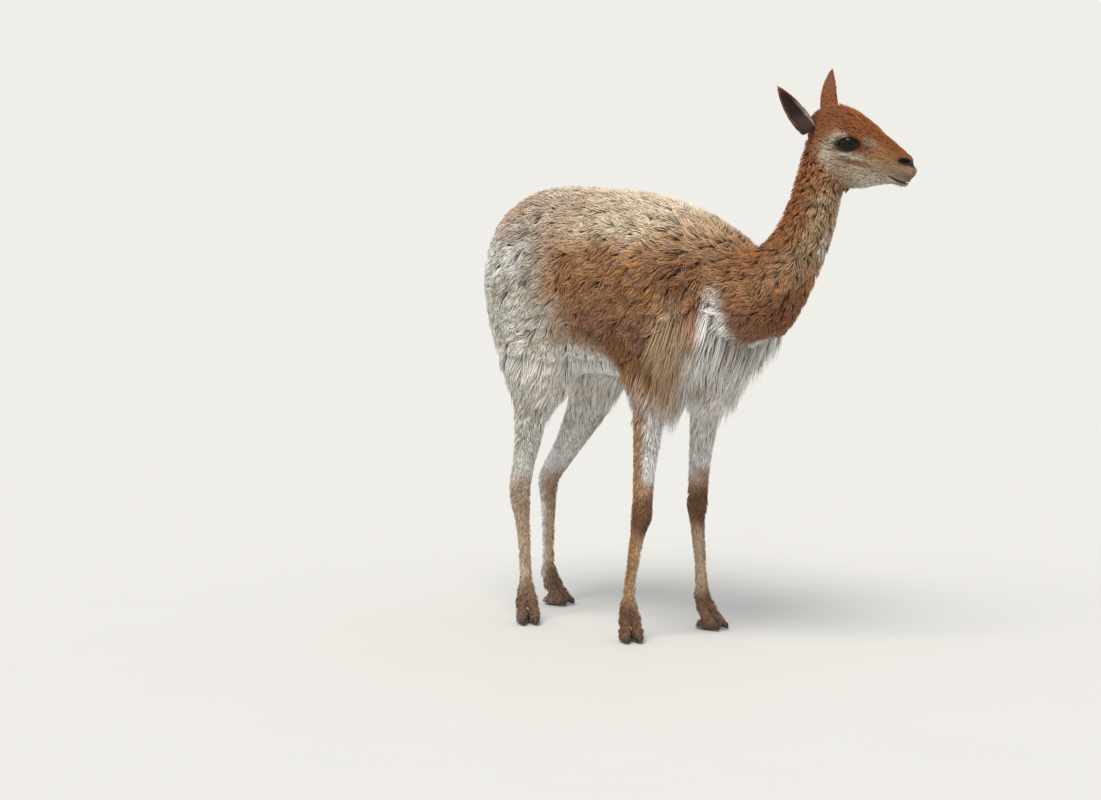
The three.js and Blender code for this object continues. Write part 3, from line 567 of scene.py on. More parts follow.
def leg_colour(p, n, name):
    z = p[:, 2]
    side = -1 if name.endswith("right") else 1
    wobble = 0.012 * ripple(p, 0.05, 8)
    if name.startswith("fore"):
        brown = ramp(0.8 * n[:, 1] * side - 0.6 * n[:, 0] + 4 * wobble, 0.05, 0.65)
        colour = layer(np.tile(WHITE, (len(p), 1)), mix(TAN, CINNAMON, 0.5), 0.9 * brown)
        low = 1 - ramp(z + wobble, 0.28, 0.33)
        colour = layer(colour, mix(TAN, CINNAMON, 0.6), 0.9 * low)
        inner_front = ramp(n[:, 0] - n[:, 1] * side, 0.5, 1.2) * (1 - ramp(z, 0.18, 0.21))
        colour = layer(colour, CREAM, 0.5 * low * inner_front)
    else:
        outer = ramp(n[:, 1] * side, -0.45, 0.35)
        front = ramp(n[:, 0], -0.2, 0.6)
        colour = layer(np.tile(WHITE, (len(p), 1)), DUST, outer)
        brown = np.maximum(0.9 * front, 0.7 * outer) * (1 - ramp(z + wobble, 0.24, 0.31))
        colour = layer(colour, TAN, 0.85 * brown)
        colour = layer(colour, SHADE, 0.5 * ramp(ripple(p, 0.05, 17), 0.2, 0.9) * ramp(z, 0.30, 0.40))
    x_knee, y_knee = LEG_LINES[name][KNEE_POINT][:2]
    knee = spot(p, (x_knee + 0.012, y_knee, 0.240), (0.032, 0.03, 0.038), 0.4)
    colour = layer(colour, SEPIA, (0.85 if name.startswith("fore") else 0.25) * knee)
    return layer(colour, SEPIA, 0.85 * (1 - ramp(z + wobble, 0.045, 0.095)))


# Pale marks behind, over, below and before the eye: their places, reaches and strengths
PALE_MARKS = ((0.009, -0.001, 0.008, 0.009, 0.9), (0.017, 0.012, 0.009, 0.009, 0.9),
              (0.029, 0.021, 0.011, 0.006, 0.8), (0.052, -0.013, 0.024, 0.005, 0.8),
              (0.082, 0.019, 0.013, 0.009, 0.65))


def head_colour(q):
    """The markings of the face, for points in the head's frame, with its colours darkened as painted shade.
    """
    s = both_sides(q)
    x, _, z = s.T
    wobble = 0.004 * ripple(q, 0.02, 9)
    # The factors 0.92, 0.85 and 0.8 on the face's colours here and below are painted shade over the whole
    # face.
    colour = np.tile(mix(GRIZZLE, CREAM, 0.25) * 0.92, (len(q), 1))
    colour = layer(colour, mix(GRIZZLE, TAN, 0.6) * 0.85, 0.7 * ramp(ripple(q, 0.018, 19), 0.0, 0.8))
    muzzle = ramp(x, 0.085, 0.125) * ramp(z, -0.034, -0.020)
    colour = layer(colour, mix(GRIZZLE, TAN, 0.7) * 0.8, 0.7 * muzzle)
    cheek = spot(s, (0.010, 0.045, -0.045), (0.014, 0.04, 0.034), 0.5)
    colour = layer(colour, mix(CREAM, WHITE, 0.4), 0.8 * cheek)
    colour = layer(colour, RUSSET, ramp(z + wobble, -0.014, 0.010))
    colour = layer(colour, RUSSET, 1 - ramp(x + wobble, -0.016, 0.002))
    bridge = spot(s, (0.103, 0.024, 0.002), (0.028, 0.020, 0.016), 0.4)
    colour = layer(colour, mix(RUSSET, TAN, 0.6), 0.85 * bridge)
    for x_at, z_at, reach_x, reach_z, share in PALE_MARKS:
        mark = spot(s, (x_at, 0.038, z_at), (reach_x, 0.03, reach_z), 0.5)
        # The pale marks use cream darkened by 0.92: painted shade over the face.
        colour = layer(colour, CREAM * 0.92, share * mark)
    colour = layer(colour, UMBER, 0.65 * spot(s, (0.066, 0.040, -0.0215), (0.034, 0.03, 0.005), 0.5))
    jaw = (1 - ramp(z + wobble, -0.050, -0.026)) * ramp(x, 0.055, 0.10)
    colour = layer(colour, mix(CREAM, WHITE, 0.6), 0.85 * jaw)
    upper_lip = ramp(x, 0.134, 0.150) * (1 - ramp(z, -0.022, -0.002))
    colour = layer(colour, mix(SLATE, TAN, 0.35), 0.9 * upper_lip)
    lower_lip = 1 - ramp(z, mouth_height(x) - 0.010, mouth_height(x) - 0.002)
    lower_lip = lower_lip * ramp(x, MOUTH_CORNER - 0.01, MOUTH_CORNER + 0.01)
    colour = layer(colour, mix(CREAM, GRIZZLE, 0.4), lower_lip)
    return layer(colour, SOOT, 1 - ramp(from_lids(s), 0.98, 1.10))


def nose_share(q):
    """One on the bare dark skin round the nostrils and between them."""
    s = both_sides(q)
    pad = spot(s, (0.160, 0, 0.002), (0.011, 0.016, 0.0085), 0.25)
    return np.maximum(pad, spot(s, (0.1490, 0.0155, 0.0038), (0.0145, 0.012, 0.0080), 0.3))


def lip_share(q):
    s = both_sides(q)
    gap = np.abs(s[:, 2] - mouth_height(s[:, 0]))
    return (1 - ramp(gap, 0.0012, 0.0034)) * ramp(s[:, 0], MOUTH_CORNER - 0.006, MOUTH_CORNER)


def nearest_leg(p):
    found = np.ones((len(LEGS), len(p)))
    for i, name in enumerate(LEGS):
        near = near_leg(p, name)
        found[i, near] = leg_form(p[near], name)
    return np.argmin(found, 0), found.min(0)


def hide_colour(p, n):
    """The markings anywhere on the animal, with painted shade under the neck's base and over the face."""
    colour = body_colour(p, n)
    which, off = nearest_leg(p)
    body = in_parts(body_form, p)
    on_leg = ramp(body - off, 0.0, 0.03) * (1 - ramp(p[:, 2], 0.46, 0.54))
    for i, name in enumerate(LEGS):
        mine = which == i
        colour[mine] = layer(colour[mine], leg_colour(p[mine], n[mine], name), on_leg[mine])
    q = in_head(p)
    on_head = ramp(neck_plane(q), -0.012, 0.012)
    near = on_head > 0
    face = head_colour(q[near])
    face = layer(face, SOOT, nose_share(q[near]))
    face = layer(face, SOOT, 0.9 * lip_share(q[near]))
    colour[near] = layer(colour[near], face, on_head[near])
    behind = ramp(-p[:, 0], 0.30, 0.33) * ramp(p[:, 2], 0.48, 0.52)
    return layer(colour, mix(SHADE, UMBER, 0.45), 0.6 * behind)


def add_layer(mesh, name, kind, values):
    made = mesh.attributes.new(name, kind, "POINT")
    key = "color" if kind == "FLOAT_COLOR" else "vector" if kind == "FLOAT_VECTOR" else "value"
    made.data.foreach_set(key, np.ascontiguousarray(values, np.float32).ravel())


def piece(name, points, faces, material, colour=None, strand=None, across=None, bake=None):
    """A smooth mesh object from points in the animal's frame and faces that all have as many corners."""
    mesh = bpy.data.meshes.new(name)
    corners = faces.shape[1]
    mesh.vertices.add(len(points))
    mesh.vertices.foreach_set("co", (points + SHIFT).astype(np.float32).ravel())
    mesh.loops.add(faces.size)
    mesh.loops.foreach_set("vertex_index", faces.astype(np.int32).ravel())
    mesh.polygons.add(len(faces))
    mesh.polygons.foreach_set("loop_start", np.arange(0, faces.size, corners, dtype=np.int32))
    mesh.update(calc_edges=True)
    mesh.shade_smooth()
    if colour is not None:
        side = np.ones(len(colour)) if across is None else across
        add_layer(mesh, "coat", "FLOAT_COLOR", np.column_stack([colour, side]))
    if strand is not None:
        add_layer(mesh, "strand", "FLOAT_VECTOR", strand)
    if bake is not None:
        uv = mesh.uv_layers.new(name="OFBake")
        uv.data.foreach_set("uv", bake[faces.ravel()].astype(np.float32).ravel())
    mesh.materials.append(material)
    made = bpy.data.objects.new(name, mesh)
    bpy.context.scene.collection.objects.link(made)
    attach(made, "root")
    return made


def node_tree(material):
    material.use_nodes = True
    tree = material.node_tree
    tree.nodes.clear()
    shader = tree.nodes.new("ShaderNodeBsdfPrincipled")
    output = tree.nodes.new("ShaderNodeOutputMaterial")
    tree.links.new(shader.outputs["BSDF"], output.inputs["Surface"])
    return tree, shader


def new_node(tree, kind, links=None, **settings):
    """A node with its settings and inputs; an input is given a number, a colour or a socket."""
    made = tree.nodes.new(kind)
    for name, value in settings.items():
        setattr(made, name, value)
    for name, value in (links or {}).items():
        if isinstance(value, bpy.types.NodeSocket):
            tree.links.new(value, made.inputs[name])
        else:
            made.inputs[name].default_value = value
    return made


def new_group(name, inputs, outputs):
    """An empty shader group with named sockets: name, kind and the value that it starts with."""
    group = bpy.data.node_groups.new(name, "ShaderNodeTree")
    for socket, kind, value in inputs:
        made = group.interface.new_socket(socket, in_out="INPUT", socket_type=kind)
        if value is not None:
            made.default_value = value
    for socket, kind in outputs:
        group.interface.new_socket(socket, in_out="OUTPUT", socket_type=kind)
    return group, group.nodes.new("NodeGroupInput").outputs, group.nodes.new("NodeGroupOutput").inputs


# Hair shading, one group for every coat. Each tuft is darker at the root, partly real colour and partly
# painted shade in the gaps between tufts, and paler at the tip, partly bleaching and partly a painted
# highlight. Every tuft is a little different from the next, with fine streaks along it.
hair_group, given, result = new_group("hair_shading", [
    ("Coat", "NodeSocketColor", (0.5, 0.4, 0.3, 1)),
    ("Strand", "NodeSocketVector", None),
    ("Grain", "NodeSocketVector", None),
    ("Root Dark", "NodeSocketFloat", 0.5),
    ("Tip Light", "NodeSocketFloat", 0.2),
    ("Variation", "NodeSocketFloat", 0.3),
    ("Streak Size", "NodeSocketFloat", 600.0),
    ("Streak", "NodeSocketFloat", 0.2),
], [("Color", "NodeSocketColor"), ("Height", "NodeSocketFloat")])
strand = new_node(hair_group, "ShaderNodeSeparateXYZ", {"Vector": given["Strand"]}).outputs
fine = new_node(hair_group, "ShaderNodeTexNoise", {
    "Vector": given["Grain"], "Scale": given["Streak Size"], "Detail": 2.0, "Roughness": 0.6}).outputs["Fac"]


def calc(tree, how, a, b):
    made = new_node(tree, "ShaderNodeMath", operation=how)
    for i, value in enumerate((a, b)):
        if isinstance(value, bpy.types.NodeSocket):
            tree.links.new(value, made.inputs[i])
        else:
            made.inputs[i].default_value = value
    return made.outputs[0]


# Root Dark darkens the root, partly as painted shade between the tufts; Tip Light brightens the tip, partly
# as a painted highlight.
root = calc(hair_group, "MULTIPLY", calc(hair_group, "SUBTRACT", 1.0, strand["X"]), given["Root Dark"])
tip = calc(hair_group, "MULTIPLY", calc(hair_group, "POWER", strand["X"], 1.5), given["Tip Light"])
own = calc(hair_group, "MULTIPLY", calc(hair_group, "SUBTRACT", strand["Y"], 0.5), given["Variation"])
clump = calc(hair_group, "MULTIPLY", calc(hair_group, "SUBTRACT", strand["Z"], 0.5), given["Variation"])
streak = calc(hair_group, "MULTIPLY", calc(hair_group, "SUBTRACT", fine, 0.5), given["Streak"])
light = calc(hair_group, "ADD", calc(hair_group, "SUBTRACT", tip, root), calc(hair_group, "ADD", own, clump))
light = calc(hair_group, "ADD", calc(hair_group, "ADD", light, streak), 1.0)
shaded = new_node(hair_group, "ShaderNodeHueSaturation", {
    "Color": given["Coat"], "Value": light,
    "Saturation": calc(hair_group, "ADD", 1.0, calc(hair_group, "MULTIPLY", own, 0.5))}).outputs["Color"]
hair_group.links.new(shaded, result["Color"])
hair_group.links.new(fine, result["Height"])


def hair_material(name, root_dark, tip_light, variation, streak, size=6.0, roughness=0.75, sheen=0.15,
                  bump=0.0005, on_hide=False):
    """Hair on tufts, with fibres along each one, or on the hide itself, with a grain over its surface."""
    material = bpy.data.materials.new(name)
    tree, shader = node_tree(material)
    coat = new_node(tree, "ShaderNodeAttribute", attribute_name="coat").outputs
    colour = coat["Color"]
    strand = new_node(tree, "ShaderNodeAttribute", attribute_name="strand").outputs["Vector"]
    if on_hide:
        grain = new_node(tree, "ShaderNodeTexCoord").outputs["Object"]
    else:
        parts = new_node(tree, "ShaderNodeSeparateXYZ", {"Vector": strand}).outputs
        grain = new_node(tree, "ShaderNodeCombineXYZ", {
            "X": coat["Alpha"], "Y": calc(tree, "MULTIPLY", parts["X"], 0.2),
            "Z": calc(tree, "MULTIPLY", parts["Y"], 9.0)}).outputs["Vector"]
    hair = tree.nodes.new("ShaderNodeGroup")
    hair.node_tree = hair_group
    tree.links.new(colour, hair.inputs["Coat"])
    tree.links.new(strand, hair.inputs["Strand"])
    tree.links.new(grain, hair.inputs["Grain"])
    for socket, value in (("Root Dark", root_dark), ("Tip Light", tip_light), ("Variation", variation),
                          ("Streak Size", size), ("Streak", streak)):
        hair.inputs[socket].default_value = value
    tree.links.new(hair.outputs["Color"], shader.inputs["Base Color"])
    relief = new_node(tree, "ShaderNodeBump", {
        "Height": hair.outputs["Height"], "Strength": 0.5, "Distance": bump})
    tree.links.new(relief.outputs["Normal"], shader.inputs["Normal"])
    shader.inputs["Roughness"].default_value = roughness
    shader.inputs["Specular IOR Level"].default_value = 0.25
    shader.inputs["Sheen Weight"].default_value = sheen
    shader.inputs["Sheen Roughness"].default_value = 0.5
    return material


# The hide's colour is darkened under the coat, more on the body than on the face: painted shade in the gaps
# between the tufts.
BODY_GAP_SHADE = 0.72
FACE_GAP_SHADE = 0.85
PLAIN_STRAND = (0.5, 0.5, 0.5)
hide = hair_material("hide", 0.0, 0.0, 0.0, 0.35, size=420.0, roughness=0.8, bump=0.001, on_hide=True)
body_out = slope(below_head, body_points)
head_out = slope(whole_head, head_points)
skin_out = np.vstack([body_out, head_out])
skin_colour = hide_colour(skin_points, skin_out)
head_zone = np.arange(len(skin_points)) >= len(body_points)
under = np.where(head_zone, FACE_GAP_SHADE, BODY_GAP_SHADE)[:, None]
skin = piece("skin", skin_points, skin_quads, hide, colour=skin_colour * under,
             strand=np.tile(PLAIN_STRAND, (len(skin_points), 1)))
flesh = ["torso", "chest", "neck", "head", "tail"]
flesh += [f"{leg}_{part}" for leg in LEGS for part in ("upper", "cannon", "foot")]
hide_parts(*flesh)


# The eyes. Each is a wet ball of 42 mm in its socket, almost black, with a brown iris and a
# pupil that lies level, under a clear cornea.
def ball(at, radius, axes, rings=24, sides=40):
    """A ball whose pole looks along the last of its axes."""
    polar = np.linspace(0, math.pi, rings + 1)[1:-1]
    turn = np.linspace(0, 2 * math.pi, sides, endpoint=False)
    local = np.stack([np.outer(np.sin(polar), np.cos(turn)), np.outer(np.sin(polar), np.sin(turn)),
                      np.outer(np.cos(polar), np.ones(sides))], -1).reshape(-1, 3)
    local = np.vstack([local, [(0, 0, 1), (0, 0, -1)]])
    k = np.arange(sides)
    faces = []
    for i in range(rings - 2):
        a = i * sides
        faces.append(np.stack([a + k, a + sides + k, a + sides + (k + 1) % sides, a + (k + 1) % sides], 1))
    quads = np.vstack(faces)
    tris = np.vstack([
        np.stack([np.full(sides, len(local) - 2), k, (k + 1) % sides], 1),
        np.stack([np.full(sides, len(local) - 1), len(local) - 2 - sides + (k + 1) % sides,
                  len(local) - 2 - sides + k], 1)])
    tris = np.vstack([tris, quads[:, [0, 1, 2]], quads[:, [0, 2, 3]]])
    return at + radius * local @ axes.T, tris, local


def to_body(q):
    return q @ HEAD_AXES.T + HEAD_AT


eye_material = bpy.data.materials.new("eyeball")
tree, shader = node_tree(eye_material)
look = new_node(tree, "ShaderNodeAttribute", attribute_name="look").outputs["Vector"]
parts = new_node(tree, "ShaderNodeSeparateXYZ", {"Vector": look}).outputs
across = calc(tree, "MULTIPLY", parts["X"], 0.62)
distance = calc(tree, "SQRT", calc(tree, "ADD", calc(tree, "MULTIPLY", across, across),
                                   calc(tree, "MULTIPLY", parts["Y"], parts["Y"])), 0.0)
rays = new_node(tree, "ShaderNodeTexNoise", {"Vector": look, "Scale": 14.0, "Detail": 3.0}).outputs["Fac"]
iris = new_node(tree, "ShaderNodeValToRGB", {"Fac": calc(
    tree, "ADD", distance, calc(tree, "MULTIPLY", calc(tree, "SUBTRACT", rays, 0.5), 0.12))})
for place, colour in ((0.0, "#050404"), (0.30, "#070504"), (0.40, "#23140c"), (0.62, "#1a0e08"),
                      (0.72, "#0b0705"), (1.0, "#120d0a")):
    stop = iris.color_ramp.elements.new(place) if 0 < place < 1 else iris.color_ramp.elements[int(place)]
    stop.color = (*tone(colour), 1)
tree.links.new(iris.outputs["Color"], shader.inputs["Base Color"])
wet = new_node(tree, "ShaderNodeTexNoise", {"Vector": look, "Scale": 30.0}).outputs["Fac"]
tree.links.new(calc(tree, "ADD", calc(tree, "MULTIPLY", wet, 0.05), 0.03), shader.inputs["Roughness"])
shader.inputs["Specular IOR Level"].default_value = 0.10
shader.inputs["Coat Weight"].default_value = 0.30
shader.inputs["Coat IOR"].default_value = 1.34
shader.inputs["Coat Roughness"].default_value = 0.02

for side, name in ((1, "eye_left"), (-1, "eye_right")):
    out = unit(np.array((0.12, side, 0.02)))
    forward = unit(EYE_FORWARD - out * (EYE_FORWARD @ out))
    upward = np.cross(out, forward) * side
    axes = np.stack([forward, upward * side, out], 1)
    at = EYE_AT * np.array((1, side, 1))
    points, faces, local = ball(at, EYE_RADIUS, axes)
    if side < 0:
        local = local * np.array((1, -1, 1))
    if np.linalg.det(axes) < 0:
        faces = faces[:, ::-1]
    eye = piece(name + "_ball", to_body(points), faces, eye_material)
    add_layer(eye.data, "look", "FLOAT_VECTOR", local)
    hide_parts(name)


# The lids. Folds of thin dark hide that ride on the ball: the upper one thick, with a crease
# above it, the lower one narrow. Fine fur grows up to their bare black rims.
def lid_direction(turn, scale, side):
    """The way from the middle of the eye to a point of the almond opening, grown by scale."""
    across = LID_HALF[0] * np.cos(turn) * scale
    lift = LID_HALF[1] * np.sin(turn) * np.abs(np.sin(turn)) ** 0.25 * (scale * 1.12 - 0.12)
    lift = lift + 0.10 * np.sin(turn) * np.cos(turn) * scale
    out = np.array((0, side, 0))
    angle = np.hypot(across, lift)
    share = np.sinc(angle / math.pi)
    return (np.cos(angle)[:, None] * out + (share * across)[:, None] * EYE_FORWARD
            + (share * lift)[:, None] * EYE_UPWARD)


LID_TURNS = 72
LID_PROFILE = [(0.90, -0.0035), (1.0, 0.00015), (1.02, 0.0010), (1.07, 0.0018), (1.16, 0.0021),
               (1.26, 0.0017), (1.36, 0.0020), (1.50, 0.0014), (1.68, -0.0008), (1.68, -0.0045),
               (1.3, -0.006)]
turns = np.linspace(0, 2 * math.pi, LID_TURNS, endpoint=False)
lid_points = []
lid_faces = []
lid_colours = []
for side in (1, -1):
    first = sum(map(len, lid_points))
    upper = ramp(np.sin(turns), -0.2, 0.5)
    for scale, rise in LID_PROFILE:
        height = rise * (0.75 + 0.35 * upper) if rise > 0.0005 else np.full(LID_TURNS, rise)
        way = lid_direction(turns, scale * np.ones(LID_TURNS), side)
        q = EYE_AT * np.array((1, side, 1)) + way * (EYE_RADIUS + height)[:, None]
        lid_points.append(to_body(q))
        lid_colours.append(head_colour(q))
    rows = len(LID_PROFILE)
    k = np.arange(LID_TURNS)
    for i in range(rows):
        a = first + i * LID_TURNS
        b = first + (i + 1) % rows * LID_TURNS
        quad = np.stack([a + k, a + (k + 1) % LID_TURNS, b + (k + 1) % LID_TURNS, b + k], 1)
        lid_faces.append(quad if side < 0 else quad[:, ::-1])
lid_fur = hair_material("lid_hide", 0.0, 0.0, 0.0, 0.3, size=900.0, roughness=0.45, bump=0.0006,
                        on_hide=True)
piece("eyelids", np.vstack(lid_points), np.vstack(lid_faces), lid_fur,
      colour=np.vstack(lid_colours), strand=np.tile(PLAIN_STRAND, (2 * rows * LID_TURNS, 1)))


# The ears. Leaf-shaped cups of thin gristle, covered in short russet hair outside, dark inside,
# with pale hair along the front rim.
EARS = {
    "ear_right": ((-0.034, -0.029, 0.012), (-0.105, -0.067, 0.077), (0.3, -0.95, 0.2)),
    "ear_left": ((-0.010, 0.027, 0.034), (-0.037, 0.052, 0.124), (0.3, 0.95, 0.1)),
}
EAR_RADIUS = 0.0170
EAR_WALL = 0.0022
EAR_ROWS = 36
EAR_SIDES = 25
EAR_SPREAD = math.radians(98)


def ear_frame(name):
    start, end, facing = (np.array(v) for v in EARS[name])
    along = unit(end - start)
    front = unit(facing - along * (facing @ along))
    return start, along, front, np.cross(front, along), np.linalg.norm(end - start)


def ear_point(name, share, turn, inset=0.0):
    """A point of the cup at a share of its height and a turn from the middle of its back."""
    start, along, front, across, length = ear_frame(name)
    swell = np.sin(math.pi * (0.36 + 0.64 * share)) ** 0.85
    radius = np.maximum(EAR_RADIUS * swell, 0.0010)
    hollow = ramp(share, 0.05, 0.35) * (1 - ramp(share, 0.93, 1))
    wall = np.minimum(EAR_WALL, radius * 0.45) * np.cos(turn / EAR_SPREAD * math.pi / 2 * 0.8)
    depth = np.where(inset > 0, mix(-1.0, 1 - wall / radius, hollow), 1.0)
    r = radius - inset * wall
    centre = start + np.outer(share * length, along) - np.outer(0.008 * np.sin(math.pi * share), front)
    return centre + (r * np.sin(turn))[:, None] * across - (r * 0.8 * np.cos(turn) * depth)[:, None] * front


def ear_colour(name, share, turn):
    """Short fur on the back of the ear, darker at the edges and at the tip."""
    edge = ramp(np.abs(turn), EAR_SPREAD * 0.7, EAR_SPREAD)
    dark = np.maximum(0.45 * edge, 0.8 * ramp(share, 0.72, 1.0))
    base = np.tile(mix(RUSSET, UMBER, 0.45), (len(turn), 1))
    return layer(base, SEPIA * 0.6, dark)


def ear_inside(name, share, turn):
    """Almost black skin in the cup, with a brown rim that turns pale low on the front side."""
    side = -1 if name == "ear_right" else 1
    rim = np.maximum(ramp(np.abs(turn), EAR_SPREAD * 0.72, EAR_SPREAD * 0.92), ramp(share, 0.80, 0.95))
    colour = layer(np.tile(mix(SOOT, SEPIA, 0.12), (len(turn), 1)), mix(RUSSET, SEPIA, 0.5), rim)
    pale = ramp(turn * side, 0.75, 1.35) * (1 - ramp(share, 0.40, 0.62))
    return layer(colour, CREAM, 0.8 * pale)


ear_points = []
ear_faces = []
ear_colours = []
for name in EARS:
    shares = np.linspace(0, 1, EAR_ROWS)
    turn = np.linspace(-EAR_SPREAD, EAR_SPREAD, EAR_SIDES)
    first = sum(map(len, ear_points))
    for share in shares:
        outer = ear_point(name, np.full(EAR_SIDES, share), turn)
        inner = ear_point(name, np.full(EAR_SIDES, share), turn, 1.0)[::-1]
        ear_points += [to_body(outer), to_body(inner)]
        ear_colours += [ear_colour(name, share, turn), ear_inside(name, share, turn[::-1])]
    around = 2 * EAR_SIDES
    k = np.arange(around)
    for i in range(EAR_ROWS - 1):
        a = first + i * around
        ear_faces.append(np.stack([a + k, a + (k + 1) % around, a + around + (k + 1) % around,
                                   a + around + k], 1))
    for end in (first, first + (EAR_ROWS - 1) * around):
        j = np.arange(EAR_SIDES - 1)
        cap = np.stack([end + j, end + around - 1 - j, end + around - 2 - j, end + j + 1], 1)
        ear_faces.append(cap if end == first else cap[:, ::-1])
ear_hide = hair_material("ear_hide", 0.0, 0.0, 0.0, 0.4, size=700.0, roughness=0.75, bump=0.0008,
                         on_hide=True)
ears = piece("ear_cups", np.vstack(ear_points), np.vstack(ear_faces), ear_hide,
             colour=np.vstack(ear_colours), strand=np.tile(PLAIN_STRAND, (sum(map(len, ear_points)), 1)))
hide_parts("ear_left", "ear_right")


# The toenails. Two narrow claws of dark horn at the front of each foot, curved down and ridged
# along their growth.
NAIL_AT = np.array((0.045, 0.013, 0.0095))
NAIL_HALF = np.array((0.0078, 0.0070, 0.0062))
NAIL_DOWN = 24
nail_points = []
nail_faces = []
for name in LEGS:
    for side in (-1, 1):
        points, faces, local = ball(np.zeros(3), 1.0, np.array([(0, 0, 1), (0, 1, 0), (-1, 0, 0)]).T, 16, 24)
        taper = 1 - 0.42 * ramp(points[:, 0], -0.2, 1.0)
        shape = points * np.stack([np.ones(len(points)), taper, taper], 1)
        shape[:, 2] -= 0.35 * ramp(points[:, 0], 0.0, 1.0)
        shape[:, 2] = np.maximum(shape[:, 2], -0.95)
        q = (shape * NAIL_HALF) @ turned(0, NAIL_DOWN).T + NAIL_AT * np.array((1, side, 1))
        _, place, turn = LEGS[name]
        nail_faces.append(faces + sum(map(len, nail_points)))
        nail_points.append(q @ turned(turn).T + np.array((*place, 0)))
horn = bpy.data.materials.new("toenail_horn")
tree, shader = node_tree(horn)
where = new_node(tree, "ShaderNodeTexCoord").outputs["Object"]
stretch = new_node(tree, "ShaderNodeMapping", {"Vector": where, "Scale": (1, 1, 5)}).outputs["Vector"]
grain = new_node(tree, "ShaderNodeTexNoise", {
    "Vector": stretch, "Scale": 240.0, "Detail": 4.0}).outputs["Fac"]
shades = new_node(tree, "ShaderNodeValToRGB", {"Fac": grain})
for i, (place, colour) in enumerate(((0.3, "#17120f"), (0.75, "#4a3c30"))):
    shades.color_ramp.elements[i].position = place
    shades.color_ramp.elements[i].color = (*tone(colour), 1)
tree.links.new(shades.outputs["Color"], shader.inputs["Base Color"])
relief = new_node(tree, "ShaderNodeBump", {"Height": grain, "Strength": 0.6, "Distance": 0.0006})
tree.links.new(relief.outputs["Normal"], shader.inputs["Normal"])
shader.inputs["Roughness"].default_value = 0.5
all_nails = np.vstack(nail_points)
all_nails[:, 2] = np.maximum(all_nails[:, 2], 0.0008)
nails = piece("toenails", all_nails, np.vstack(nail_faces), horn)
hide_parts(*[f"{leg}_nail_{side}" for leg in LEGS for side in ("left", "right")])


# The coat. Fine dense wool in wavy locks over the trunk, long straight hair on the chest and along
# the belly, short close hair on the face and the legs. Each tuft is a flat, tapered, bent wedge
# rooted in the hide, and neighbours lean together into locks.
def spread(points, quads, cell, seed):
    """Places strewn over a net of quads, about one for each cell."""
    chance = np.random.default_rng(seed)
    corners = points[quads]
    ways = np.stack([np.cross(corners[:, 1] - corners[:, 0], corners[:, 2] - corners[:, 0]),
                     np.cross(corners[:, 2] - corners[:, 0], corners[:, 3] - corners[:, 0])], 1)
    areas = np.linalg.norm(ways, axis=-1).ravel() / 2
    count = int(areas.sum() / cell ** 2 * 2.6)
    share = np.searchsorted(np.cumsum(areas) / areas.sum(), chance.random(count))
    share = np.minimum(share, len(areas) - 1)
    which, half = share // 2, share % 2
    a = corners[which, 0]
    b = corners[which, 1 + half]
    c = corners[which, 2 + half]
    u = np.sqrt(chance.random((count, 1)))
    v = chance.random((count, 1))
    place = a * (1 - u) + b * u * (1 - v) + c * u * v
    key = np.floor(place / cell).astype(np.int64)
    key = key[:, 0] * 73856093 ^ key[:, 1] * 19349663 ^ key[:, 2] * 83492791
    _, first = np.unique(key, return_index=True)
    first.sort()
    return place[first]


def clumps(roots, every, seed):
    """For each root, the number of the root that leads its lock."""
    chance = np.random.default_rng(seed)
    leaders = chance.choice(len(roots), max(1, len(roots) // every), replace=False)
    tree = KDTree(len(leaders))
    for i, k in enumerate(leaders):
        tree.insert(roots[k], i)
    tree.balance()
    return np.array([leaders[tree.find(r)[1]] for r in roots])


